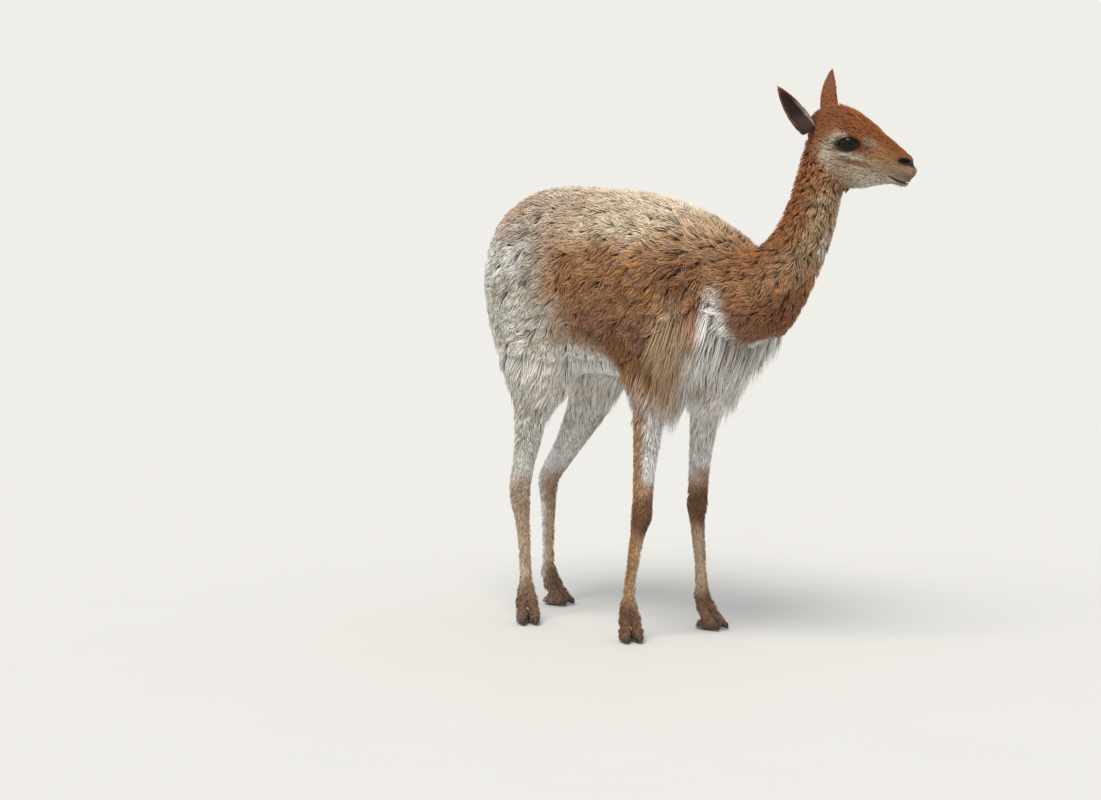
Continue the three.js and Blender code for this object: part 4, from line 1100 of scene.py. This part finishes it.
def tuft_mesh(form, roots, out, lie, length, width, level, steps, seed, every=10, gather=0.5, wave=0.0,
              waves=1.0, hang=0.0, fall=(-0.12, 0, -1.0), jitter=0.25, thick=0.28, sink=0.0015):
    """Tufts that leave the hide at their roots, rise to a level over it and follow its lie."""
    chance = np.random.default_rng(seed)
    count = len(roots)
    leader = clumps(roots, every, seed + 1)
    own = chance.random(count)
    shared = chance.random(count)[leader]
    lean = chance.normal(size=(count, 1)) * jitter * 0.5 + chance.normal(size=(count, 1))[leader] * jitter
    across = np.cross(out, lie)
    way = unit(lie + across * lean)
    across = np.cross(out, way)
    long = (length * (0.75 + 0.5 * chance.random(count)))[:, None]
    level = level * (0.7 + 0.6 * chance.random(count))
    phase = 2 * math.pi * shared + 0.8 * own
    line = [roots - out * sink]
    outs = [out]
    for i in range(1, steps + 1):
        s = i / steps
        flat = roots + way * long * s + out * (level * s)[:, None]
        swing = wave * (np.sin(2 * math.pi * waves * s + phase) - np.sin(phase)) * long[:, 0]
        flat = flat + across * swing[:, None]
        leading = way[leader] * long[leader] * s + roots[leader]
        raised = leading + out[leader] * (level[leader] * s)[:, None]
        towards = raised + across[leader] * swing[leader][:, None]
        flat = mix(flat, towards, gather * s ** 1.3)
        if form is None:
            line.append(flat)
            outs.append(out)
            continue
        grow = slope(form, flat, 0.001)
        aim = level * math.sin(s * math.pi / 2)
        close = flat + grow * (aim - in_parts(form, flat))[:, None]
        free = line[-1] + unit(np.array(fall) + 0.35 * way) * long / steps
        falling = (hang * ramp(s, 0.15, 0.6))[:, None] if np.ndim(hang) else hang * ramp(s, 0.15, 0.6)
        line.append(mix(close, free, falling))
        outs.append(grow)
    points = []
    alongs = []
    for i in range(steps):
        s = i / steps
        run = unit(line[i + 1] - line[i])
        side = unit(np.cross(outs[i], run))
        rise = np.cross(run, side)
        profile = math.sqrt(1 - s ** 1.7) * (0.75 + 0.25 * math.sin(s * math.pi))
        half = (width * profile / 2)[:, None]
        high = (width * thick * profile)[:, None]
        points += [line[i] + side * half - rise * high * 0.4, line[i] + rise * high,
                   line[i] - side * half - rise * high * 0.4]
        alongs += [s, s, s]
    points.append(line[steps])
    alongs.append(1.0)
    corners = len(points)
    faces = [(0, 1, 2)]
    for i in range(steps - 1):
        a = 3 * i
        for j in range(3):
            k = (j + 1) % 3
            faces += [(a + j, a + 3 + j, a + 3 + k), (a + j, a + 3 + k, a + k)]
    a = 3 * (steps - 1)
    faces += [(a + j, 3 * steps, a + (j + 1) % 3) for j in range(3)]
    faces = np.array(faces)
    stacked = np.stack(points, 1)
    one = stacked[: min(200, count)]
    tri = one[:, faces]
    volume = np.einsum("nfi,nfi->", tri[:, :, 0] - one[:, :1], np.cross(tri[:, :, 1] - one[:, :1],
                                                                     tri[:, :, 2] - one[:, :1]))
    if volume < 0:
        faces = faces[:, ::-1]
    all_faces = (faces[None] + corners * np.arange(count)[:, None, None]).reshape(-1, 3)
    strand = np.stack([np.tile(alongs, (count, 1)), np.repeat(own[:, None], corners, 1),
                       np.repeat(shared[:, None], corners, 1)], -1)
    across = np.tile([(0.0, 0.5, 1.0)[i % 3] if i < corners - 1 else 0.5 for i in range(corners)], count)
    return {"points": stacked, "faces": all_faces, "strand": strand, "across": across, "tip": line[steps],
            "corners": corners, "triangles": len(faces)}


PATCH = 0.003


def bake_map(tufts, unwrapped):
    """Each tuft as a small patch at its root's place on the unwrapped hide."""
    u, v = unwrapped
    spread_u = 0.01 + 0.98 * (u - u.min()) / max(u.max() - u.min(), 1e-6)
    spread_v = 0.01 + 0.98 * (v - v.min()) / max(v.max() - v.min(), 1e-6)
    corners = tufts["corners"]
    along = tufts["strand"][0, :, 0] - 0.5
    side = tufts["across"][:corners] - 0.5
    return np.stack([spread_u[:, None] + PATCH * side, spread_v[:, None] + PATCH * along], -1)


def wrap_trunk(p):
    q = p - np.array((0.0, 0.0, 0.66))
    return np.arctan2(q[:, 1], q[:, 0]), np.arctan2(q[:, 2], np.hypot(q[:, 0] * 0.5, q[:, 1]))


# The first point of the neck's line that stands clear of the trunk
NECK_FOOT = 4


def wrap_neck(p):
    line = NECK[NECK_FOOT:]
    middle = np.stack([np.interp(p[:, 2], line[:, 2], line[:, i]) for i in (0, 1)], 1)
    return np.arctan2(p[:, 1] - middle[:, 1], -(p[:, 0] - middle[:, 0])), p[:, 2] + 0.5 * p[:, 0]


def wrap_head(p):
    q = in_head(p)
    return np.arctan2(q[:, 1], -q[:, 2] - 0.01), q[:, 0] + 0.3 * np.hypot(q[:, 1], q[:, 2])


def wrap_legs(p):
    which, _ = nearest_leg(p)
    u = np.zeros(len(p))
    for i, line in enumerate(LEG_LINES.values()):
        mine = which == i
        x = np.interp(-p[mine, 2], -line[:, 2], line[:, 0])
        y = np.interp(-p[mine, 2], -line[:, 2], line[:, 1])
        u[mine] = i + 0.98 * (np.arctan2(p[mine, 1] - y, p[mine, 0] - x) / (2 * math.pi) + 0.5)
    return u, p[:, 2]


def wrap_tail(p):
    return np.arctan2(p[:, 1], p[:, 0] + 0.30), p[:, 2]


BOX_MARGIN = 0.0004
BOX_LOW = np.array(CAD_BOX[0]) - SHIFT + BOX_MARGIN
BOX_HIGH = np.array(CAD_BOX[1]) - SHIFT - BOX_MARGIN


def coat_piece(name, tufts, roots, out, wrap, material, shades=hide_colour):
    """A coat piece: its tufts take the hide's markings at their roots and, towards the tip, lower down."""
    at_root = shades(roots, out)
    at_tip = shades(mix(roots, tufts["tip"], 0.7), out)
    along = tufts["strand"][:, :, 0:1]
    colour = mix(at_root[:, None, :], at_tip[:, None, :], along)
    bake = bake_map(tufts, wrap(roots))
    count = len(roots) * tufts["triangles"]
    print(name, len(roots), "tufts", count, "triangles")
    inside_box = np.clip(tufts["points"].reshape(-1, 3), BOX_LOW, BOX_HIGH)
    return piece(name, inside_box, tufts["faces"], material,
                 colour=colour.reshape(-1, 3), strand=tufts["strand"].reshape(-1, 3),
                 across=tufts["across"], bake=bake.reshape(-1, 2))


# Where each kind of coat grows. Roots lie strewn over the hide below the head, and each belongs to
# the leg, the tail, the neck or the trunk, whichever form is outermost there.
BODY_ROOT_CELL = 0.0031
all_roots = spread(body_points, body_quads, BODY_ROOT_CELL, 1)
root_leg, leg_off = nearest_leg(all_roots)
body_off = in_parts(body_form, all_roots) + in_parts(body_depth, all_roots)
tail_off = in_parts(tail_form, all_roots) + TAIL_DEPTH
in_neck = neck_plane(in_head(all_roots)) < 0.004
below = all_roots[:, 2] < 0.50
on_leg = below & (leg_off + LEG_DEPTH < body_off)
on_tail = (tail_off < body_off) & ~on_leg & (all_roots[:, 0] < -0.25)
on_neck = in_neck & ~on_tail & (all_roots[:, 0] + 0.35 * (all_roots[:, 2] - 0.62) > 0.335)
on_trunk = in_neck & ~on_leg & ~on_tail & ~on_neck
fleece = hair_material("fleece", 0.40, 0.34, 0.46, 0.5, roughness=0.85, sheen=0.2)
long_hair = hair_material("long_hair", 0.25, 0.15, 0.34, 0.4, roughness=0.6, sheen=0.1)
close_hair = hair_material("close_hair", 0.28, 0.16, 0.34, 0.4, roughness=0.7, sheen=0.1)


def tangent(way, out):
    return unit(way - out * (way * out).sum(-1, keepdims=True))


def trunk_lie(p, out):
    """Back along the top, back and down on the flanks, down on the rump, the chest and the belly."""
    top = ramp(out[:, 2], 0.3, 0.95)
    chest = ramp(p[:, 0], 0.20, 0.30)
    rump = ramp(-p[:, 0], 0.10, 0.24)
    low = 1 - ramp(p[:, 2], 0.52, 0.62)
    back = mix(mix(-0.62, -1.0, top), -0.15, chest)
    back = mix(back, -0.30, np.maximum(rump * (1 - top), low))
    way = np.stack([back, np.sign(p[:, 1]) * 0.35 * top, mix(-0.8, -0.05, top)], 1)
    swirl = 0.40 * ripple(p, 0.09, 12)
    way = tangent(way, out)
    return unit(way + np.cross(out, way) * swirl[:, None] * (1 - low[:, None] * 0.7))


# The fleece and the long hair of the trunk. Fine wool in short wavy locks covers back, flanks and
# rump; straight hair hangs from the chest as a bib and from the belly as a fringe.
trunk_roots = all_roots[on_trunk]
trunk_out = slope(below_head, trunk_roots)
x, y, z = trunk_roots.T
hairy = np.maximum(1 - ramp(z, 0.50, 0.575), spot(trunk_roots, BIB_AT, (0.11, 0.16, 0.12), 0.35))
hairy = hairy * (1 - ramp(x + 0.35 * (z - 0.62), 0.33, 0.36))
bib_zone = (x > 0.20) & (hairy > 0.4)
fringe_zone = (hairy > 0.4) & ~bib_zone
wool = hairy <= 0.4
top = ramp(trunk_out[:, 2], 0.3, 0.95)


def some(mask, most, seed):
    """At most so many of the places under a mask, drawn by chance."""
    chosen = np.flatnonzero(mask)
    if len(chosen) > most:
        chosen = np.sort(np.random.default_rng(seed).choice(chosen, most, replace=False))
    return chosen


BACK_FROM = 0.735
RUMP_FROM = -0.12
ZONES = {
    "back_left": wool & (y >= 0) & (z >= BACK_FROM),
    "back_right": wool & (y < 0) & (z >= BACK_FROM),
    "flank_left": wool & (y >= 0) & (z < BACK_FROM) & (x > RUMP_FROM),
    "flank_right": wool & (y < 0) & (z < BACK_FROM) & (x > RUMP_FROM),
    "rump_left": wool & (y >= 0) & (z < BACK_FROM) & (x <= RUMP_FROM),
    "rump_right": wool & (y < 0) & (z < BACK_FROM) & (x <= RUMP_FROM),
}
FLEECE_SHARE = 0.84
FLEECE_LONG = (0.036, 0.028)
FLEECE_WIDE = 0.0029
for i, (zone, mask) in enumerate(ZONES.items()):
    chosen = some(mask, int(mask.sum() * FLEECE_SHARE), 40 + i)
    roots, out = trunk_roots[chosen], trunk_out[chosen]
    lie = trunk_lie(roots, out)
    tufts = tuft_mesh(below_head, roots, out, lie, mix(*FLEECE_LONG, top[chosen]),
                      np.full(len(roots), FLEECE_WIDE), np.full(len(roots), FLEECE_DEPTH + 0.001), 3, 50 + i,
                      every=11, gather=0.52, wave=0.09, waves=1.0, jitter=0.36)
    coat_piece("fleece_" + zone, tufts, roots, out, wrap_trunk, fleece)

HAIR_SHARE = 0.70
HAIR_WIDE = 0.0028
FRINGE = (0.062, 0.012, 0.55, (-0.12, 0, -1))
BIB = (0.100, 0.024, 0.75, (0.08, 0, -1))
for i, (zone, mask, kind) in enumerate((
        ("fringe_left", fringe_zone & (y >= 0), FRINGE),
        ("fringe_right", fringe_zone & (y < 0), FRINGE),
        ("bib_left", bib_zone & (y >= 0), BIB),
        ("bib_right", bib_zone & (y < 0), BIB))):
    long, level, hang, fall = kind
    chosen = some(mask, int(mask.sum() * HAIR_SHARE), 60 + i)
    roots, out = trunk_roots[chosen], trunk_out[chosen]
    lie = trunk_lie(roots, out)
    tufts = tuft_mesh(below_head, roots, out, lie, np.full(len(roots), long),
                      np.full(len(roots), HAIR_WIDE), np.full(len(roots), level), 4, 70 + i, every=16,
                      gather=0.55, wave=0.03, waves=0.8, hang=np.full(len(roots), hang), fall=fall,
                      jitter=0.18)
    coat_piece("hair_" + zone, tufts, roots, out, wrap_trunk, long_hair)


# The wool of the neck. It is shorter than on the trunk, lies down the neck, and is shortest where
# the throat meets the jaw.
NECK_LONG = (0.030, 0.020)
NECK_WIDE = 0.0027
neck_roots = all_roots[on_neck]
neck_out = slope(below_head, neck_roots)
neck_middle = np.interp(neck_roots[:, 2], NECK[NECK_FOOT:, 2], NECK[NECK_FOOT:, 1])
left_of_neck = neck_roots[:, 1] >= neck_middle
for i, (zone, mask) in enumerate((("left", left_of_neck), ("right", ~left_of_neck))):
    roots, out = neck_roots[mask], neck_out[mask]
    height = ramp(roots[:, 2], 0.66, 0.90)
    index = np.argmin(np.abs(roots[:, None, 2] - NECK[None, NECK_FOOT:, 2]), 1) + NECK_FOOT
    down = unit(NECK[index - 1, :3] - NECK[np.minimum(index + 1, len(NECK) - 1), :3])
    lie = tangent(down, out)
    lie = unit(lie + np.cross(out, lie) * (0.35 * ripple(roots, 0.06, 14))[:, None])
    by_head = ramp(neck_plane(in_head(roots)), -0.030, 0.0)
    long = mix(*NECK_LONG, height) * (1 - 0.45 * by_head)
    tufts = tuft_mesh(below_head, roots, out, lie, long, np.full(len(roots), NECK_WIDE),
                      mix(0.011, 0.010, height), 3, 80 + i, every=9, gather=0.55, wave=0.07, waves=0.9,
                      jitter=0.38)
    coat_piece("wool_neck_" + zone, tufts, roots, out, wrap_neck, fleece)


# The hair of the tail: long and straight, hanging down behind the thighs from a short dock.
TAIL_LONG = 0.055
TAIL_WIDE = 0.0036
tail_roots = all_roots[on_tail]
tail_out = slope(below_head, tail_roots)
tail_way = tangent(np.tile((0.05, 0, -1.0), (len(tail_roots), 1)), tail_out)
tufts = tuft_mesh(below_head, tail_roots, tail_out, tail_way, np.full(len(tail_roots), TAIL_LONG),
                  np.full(len(tail_roots), TAIL_WIDE), np.full(len(tail_roots), 0.013), 4, 90, every=9,
                  gather=0.6, wave=0.04, jitter=0.25)
coat_piece("hair_tail", tufts, tail_roots, tail_out, wrap_tail, long_hair)


# The hair of the legs: short, stiff and close, pointing down to the foot, and longer where the leg
# leaves the body.
LEG_SHARE = 0.60
LEG_LONG = (0.012, 0.034)
LEG_WIDE = (0.0023, 0.0030)
LEG_LEVEL = (0.0024, 0.006)
leg_roots = all_roots[on_leg]
leg_which = root_leg[on_leg]
for i, (zone, mask) in enumerate((("fore", leg_which < 2), ("hind", leg_which >= 2))):
    mask = mask & (leg_roots[:, 2] > 0.006)
    chosen = some(mask, int(mask.sum() * LEG_SHARE), 95 + i)
    roots = leg_roots[chosen]
    out = slope(below_head, roots)
    lie = tangent(np.tile((-0.12, 0, -1.0), (len(roots), 1)), out)
    high = ramp(roots[:, 2], 0.30, 0.48)
    long = mix(*LEG_LONG, high) * mix(0.6, 1.0, ramp(roots[:, 2], 0.01, 0.06))
    tufts = tuft_mesh(below_head, roots, out, lie, long, mix(*LEG_WIDE, high), mix(*LEG_LEVEL, high), 2,
                      100 + i, every=6, gather=0.35, jitter=0.2)
    coat_piece("hair_legs_" + zone, tufts, roots, out, wrap_legs, close_hair)


# The hair of the head: the shortest of all. It runs back from the nose, parts round the eyes and
# thickens on the crown and the cheeks; the nose, the lips and the lids' rims stay bare.
HEAD_ROOT_CELL = 0.0017
HEAD_TUFTS = 19900
head_roots = spread(head_points, head_quads, HEAD_ROOT_CELL, 2)
q = in_head(head_roots)
s = both_sides(q)
near_eye = from_lids(s)
bare = (near_eye < 1.0) | (nose_share(q) > 0.35) | (lip_share(q) > 0.15)
keep = ~bare & (neck_plane(q) > -0.006)
head_roots, q, s, near_eye = head_roots[keep], q[keep], s[keep], near_eye[keep]
head_way_out = slope(whole_head, head_roots)
m = head_way_out @ HEAD_AXES
low_part = 1 - ramp(q[:, 2], -0.05, 0.0)
way = np.stack([np.full(len(q), -1.0), 0.25 * np.sign(q[:, 1]) * ramp(np.abs(q[:, 1]), 0.0, 0.02),
                mix(0.10, -0.35, low_part)], 1)
away = unit(s - EYE_AT) * np.stack([np.ones(len(q)), np.sign(q[:, 1]), np.ones(len(q))], 1)
way = mix(way, away, (0.7 * (1 - ramp(near_eye, 1.0, 1.7)))[:, None])
head_lie = tangent(unit(way), m) @ HEAD_AXES.T
crown = ramp(q[:, 2], 0.02, 0.06) * (1 - ramp(q[:, 0], 0.05, 0.09))
throat = 1 - ramp(q[:, 0], 0.02, 0.07)
muzzle = ramp(q[:, 0], 0.10, 0.145)
head_long = mix(0.0095, 0.0045, muzzle) + 0.008 * crown + 0.005 * throat
head_long = head_long * (1 - 0.5 * (1 - ramp(near_eye, 1.0, 1.7)))
head_level = in_parts(head_depth, q) * 0.9 + 0.0004
head_wide = mix(0.0016, 0.0012, muzzle) + 0.0004 * crown
for i, (zone, mask) in enumerate((("left", q[:, 1] >= 0), ("right", q[:, 1] < 0))):
    chosen = some(mask, HEAD_TUFTS, 110 + i)
    roots, out = head_roots[chosen], head_way_out[chosen]
    tufts = tuft_mesh(whole_head, roots, out, head_lie[chosen], head_long[chosen], head_wide[chosen],
                      head_level[chosen], 2, 120 + i, every=6, gather=0.3, jitter=0.22, sink=0.0008)
    coat_piece("hair_head_" + zone, tufts, roots, out, wrap_head, close_hair)


# The hair of the ears: short fur that lies up the back of each cup, and finer hair that grows in
# from its rims over the dark skin inside.
EAR_FUR = 1100
EAR_RIM_HAIR = 420
EAR_STEP = 0.004
for name in EARS:
    chance = np.random.default_rng(140 + len(name))
    side = -1 if name == "ear_right" else 1
    for part, count, inset in (("fur", EAR_FUR, 0.0), ("rim", EAR_RIM_HAIR, 1.0)):
        share = chance.random(count) ** 0.85 * 0.93
        turn = chance.uniform(-1, 1, count) * EAR_SPREAD * 0.98
        if inset:
            turn = np.sign(turn) * chance.uniform(0.70, 0.97, count) * EAR_SPREAD
            share = share * 0.93
        here = ear_point(name, share, turn, inset)
        up_ear = unit(ear_point(name, share + EAR_STEP, turn, inset) - here)
        round_ear = unit(ear_point(name, share, turn + EAR_STEP, inset) - here)
        out = unit(np.cross(round_ear, up_ear)) * (-1 if inset else 1)
        middle = ear_point(name, share, np.zeros(count), 0.0) + ear_frame(name)[2] * EAR_RADIUS
        outward = np.sign(((here - middle) * out).sum(1)) * (-1 if inset else 1)
        out = out * outward[:, None]
        lie = up_ear - 0.7 * np.sign(turn)[:, None] * round_ear if inset else up_ear
        shade = ear_inside(name, share, turn) if inset else ear_colour(name, share, turn)
        if inset:
            shade = mix(shade, RUSSET * 0.8, 0.25)
        fade = 1 - 0.75 * ramp(share, 0.6, 0.95)
        tufts = tuft_mesh(None, to_body(here), out @ HEAD_AXES.T, unit(lie) @ HEAD_AXES.T,
                          (0.0075 if inset else 0.0080) * fade, np.full(count, 0.0010 if inset else 0.0014),
                          np.full(count, 0.0012), 2, 150 + len(part), every=5, gather=0.3, jitter=0.2,
                          sink=0.0006)
        coat_piece(f"hair_{name}_{part}", tufts, to_body(here), out @ HEAD_AXES.T,
                   lambda p: (turn, share), close_hair, shades=lambda p, n: shade)


# Lashes and whiskers. Single stiff hairs: dark lashes along the upper lids, and short whiskers on
# the chin and the lips. One tapered, bent hair is set at each root by a tree of Geometry Nodes.
bristle_tree = bpy.data.node_groups.new("bristles", "GeometryNodeTree")
for socket, kind in (("Geometry", "NodeSocketGeometry"), ("Thickness", "NodeSocketFloat"),
                     ("Bend", "NodeSocketFloat"), ("Material", "NodeSocketMaterial")):
    bristle_tree.interface.new_socket(socket, in_out="INPUT", socket_type=kind)
bristle_tree.interface.new_socket("Geometry", in_out="OUTPUT", socket_type="NodeSocketGeometry")
given = bristle_tree.nodes.new("NodeGroupInput").outputs
bend = new_node(bristle_tree, "ShaderNodeCombineXYZ", {"X": given["Bend"], "Z": 1.0}).outputs[0]
line = new_node(bristle_tree, "GeometryNodeCurveQuadraticBezier", {
    "Resolution": 4, "Start": (0, 0, 0), "Middle": (0, 0, 0.55), "End": bend}).outputs[0]
ring = new_node(bristle_tree, "GeometryNodeCurvePrimitiveCircle", {"Resolution": 5}, mode="RADIUS")
bristle_tree.links.new(given["Thickness"], ring.inputs["Radius"])
along = new_node(bristle_tree, "GeometryNodeSplineParameter").outputs["Factor"]
taper = calc(bristle_tree, "SUBTRACT", 1.0, calc(bristle_tree, "MULTIPLY", along, 0.88))
hair_shape = new_node(bristle_tree, "GeometryNodeCurveToMesh", {
    "Curve": line, "Profile Curve": ring.outputs["Curve"], "Scale": taper, "Fill Caps": True}).outputs[0]
named = []
for attribute, kind in (("way", "FLOAT_VECTOR"), ("long", "FLOAT")):
    named.append(new_node(bristle_tree, "GeometryNodeInputNamedAttribute", {"Name": attribute},
                          data_type=kind).outputs["Attribute"])
aimed = new_node(bristle_tree, "FunctionNodeAlignRotationToVector", {"Vector": named[0]},
                 axis="Z").outputs[0]
placed = new_node(bristle_tree, "GeometryNodeInstanceOnPoints", {
    "Points": given["Geometry"], "Instance": hair_shape, "Rotation": aimed, "Scale": named[1]}).outputs[0]
solid = new_node(bristle_tree, "GeometryNodeRealizeInstances", {"Geometry": placed}).outputs[0]
rounded = new_node(bristle_tree, "GeometryNodeSetShadeSmooth", {"Geometry": solid}).outputs[0]
painted = new_node(bristle_tree, "GeometryNodeSetMaterial", {
    "Geometry": rounded, "Material": given["Material"]}).outputs[0]
bristle_tree.links.new(painted, bristle_tree.nodes.new("NodeGroupOutput").inputs["Geometry"])


def bristles(name, roots, ways, long, thickness, bend, material):
    """Stiff hairs at roots in the head's frame; thickness and bend are shares of a hair's length."""
    mesh = bpy.data.meshes.new(name)
    mesh.vertices.add(len(roots))
    mesh.vertices.foreach_set("co", (to_body(roots) + SHIFT).astype(np.float32).ravel())
    add_layer(mesh, "way", "FLOAT_VECTOR", ways @ HEAD_AXES.T)
    add_layer(mesh, "long", "FLOAT", long)
    made = bpy.data.objects.new(name, mesh)
    bpy.context.scene.collection.objects.link(made)
    modifier = made.modifiers.new("bristles", "NODES")
    modifier.node_group = bristle_tree
    values = {"Thickness": thickness, "Bend": bend, "Material": material}
    for socket in bristle_tree.interface.items_tree:
        if socket.in_out == "INPUT" and socket.name in values:
            modifier[socket.identifier] = values[socket.name]
    grown = bpy.data.meshes.new_from_object(made.evaluated_get(bpy.context.evaluated_depsgraph_get()))
    made.modifiers.remove(modifier)
    made.data = grown
    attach(made, "root")
    return made


def bristle_material(name, root_colour, tip_colour):
    material = bpy.data.materials.new(name)
    tree, shader = node_tree(material)
    where = new_node(tree, "ShaderNodeTexCoord").outputs["Object"]
    grain = new_node(tree, "ShaderNodeTexNoise", {
        "Vector": where, "Scale": 350.0, "Detail": 2.0}).outputs["Fac"]
    shades = new_node(tree, "ShaderNodeValToRGB", {"Fac": grain})
    for i, (place, colour) in enumerate(((0.35, root_colour), (0.65, tip_colour))):
        shades.color_ramp.elements[i].position = place
        shades.color_ramp.elements[i].color = (*tone(colour), 1)
    tree.links.new(shades.outputs["Color"], shader.inputs["Base Color"])
    shader.inputs["Roughness"].default_value = 0.55
    return material


LASHES = 54
LASH_LENGTH = 0.0105
chance = np.random.default_rng(170)
lash_roots = []
lash_ways = []
for side in (1, -1):
    turns = np.linspace(math.radians(14), math.radians(166), LASHES) + chance.normal(size=LASHES) * 0.02
    rim = lid_direction(turns, np.full(LASHES, 1.08), side)
    lash_roots.append(EYE_AT * np.array((1, side, 1)) + rim * (EYE_RADIUS + 0.0014))
    spread_out = np.cos(turns)[:, None] * EYE_FORWARD * 0.55 + np.sin(turns)[:, None] * EYE_UPWARD * 0.10
    stray = chance.normal(size=(LASHES, 3)) * 0.06
    lash_ways.append(unit(np.array((0, 0.8 * side, -0.30)) + spread_out + stray))
lash_material = bristle_material("lash", "#0d0908", "#1f1611")
bristles("eyelashes", np.vstack(lash_roots), np.vstack(lash_ways),
         LASH_LENGTH * chance.uniform(0.7, 1.1, 2 * LASHES), 0.022, -0.28, lash_material)

WHISKERS = 110
whisker_zone = np.flatnonzero((q[:, 0] > 0.130) & (q[:, 2] < -0.012) & (m[:, 0] < 0.4))
picked = chance.choice(whisker_zone, WHISKERS, replace=False)
whisker_out = m[picked]
whisker_ways = unit(whisker_out + np.array((0.10, 0, -0.50)) + chance.normal(size=(WHISKERS, 3)) * 0.12)
whisker_material = bristle_material("whisker", "#6d5a48", "#cbbda6")
whisker_roots = q[picked] - whisker_out * 0.0005
whisker_long = chance.uniform(0.006, 0.011, WHISKERS)
tips = to_body(whisker_roots + whisker_ways * 1.2 * whisker_long[:, None])
within = (tips < BOX_HIGH).all(1)
bristles("whiskers", whisker_roots[within], whisker_ways[within], whisker_long[within], 0.014, 0.15,
         whisker_material)


# The studio: a plain pale floor, one wide soft light high on the left of the camera and an even
# pale surround.
FLOOR_REACH = 90.0
floor_mesh = bpy.data.meshes.new("floor")
floor_mesh.from_pydata([(-FLOOR_REACH, -FLOOR_REACH, 0), (FLOOR_REACH, -FLOOR_REACH, 0),
                        (FLOOR_REACH, FLOOR_REACH, 0), (-FLOOR_REACH, FLOOR_REACH, 0)], [], [(0, 1, 2, 3)])
floor = bpy.data.objects.new("floor", floor_mesh)
bpy.context.scene.collection.objects.link(floor)
floor_material = bpy.data.materials.new("floor_paint")
tree, shader = node_tree(floor_material)
where = new_node(tree, "ShaderNodeTexCoord").outputs["Object"]
mottle = new_node(tree, "ShaderNodeTexNoise", {"Vector": where, "Scale": 3.0, "Detail": 4.0}).outputs["Fac"]
shades = new_node(tree, "ShaderNodeValToRGB", {"Fac": mottle})
for i, (place, colour) in enumerate(((0.3, "#cbc8c2"), (0.7, "#ccc9c3"))):
    shades.color_ramp.elements[i].position = place
    shades.color_ramp.elements[i].color = (*tone(colour), 1)
tree.links.new(shades.outputs["Color"], shader.inputs["Base Color"])
shader.inputs["Roughness"].default_value = 0.8
floor_mesh.materials.append(floor_material)

world = bpy.data.worlds.new("surround")
world.use_nodes = True
world.node_tree.nodes["Background"].inputs["Color"].default_value = (0.90, 0.94, 1.0, 1)
world.node_tree.nodes["Background"].inputs["Strength"].default_value = 0.80
bpy.context.scene.world = world
SUN_FROM = Vector((0.25, -0.55, 1.0))
sun_data = bpy.data.lights.new("soft_key", "SUN")
sun_data.energy = 2.7
sun_data.angle = math.radians(35)
sun_data.color = (1.0, 0.97, 0.92)
sun = bpy.data.objects.new("soft_key", sun_data)
sun.rotation_mode = "QUATERNION"
sun.rotation_quaternion = SUN_FROM.to_track_quat("Z", "Y")
bpy.context.scene.collection.objects.link(sun)
bpy.context.scene.view_settings.view_transform = "Standard"
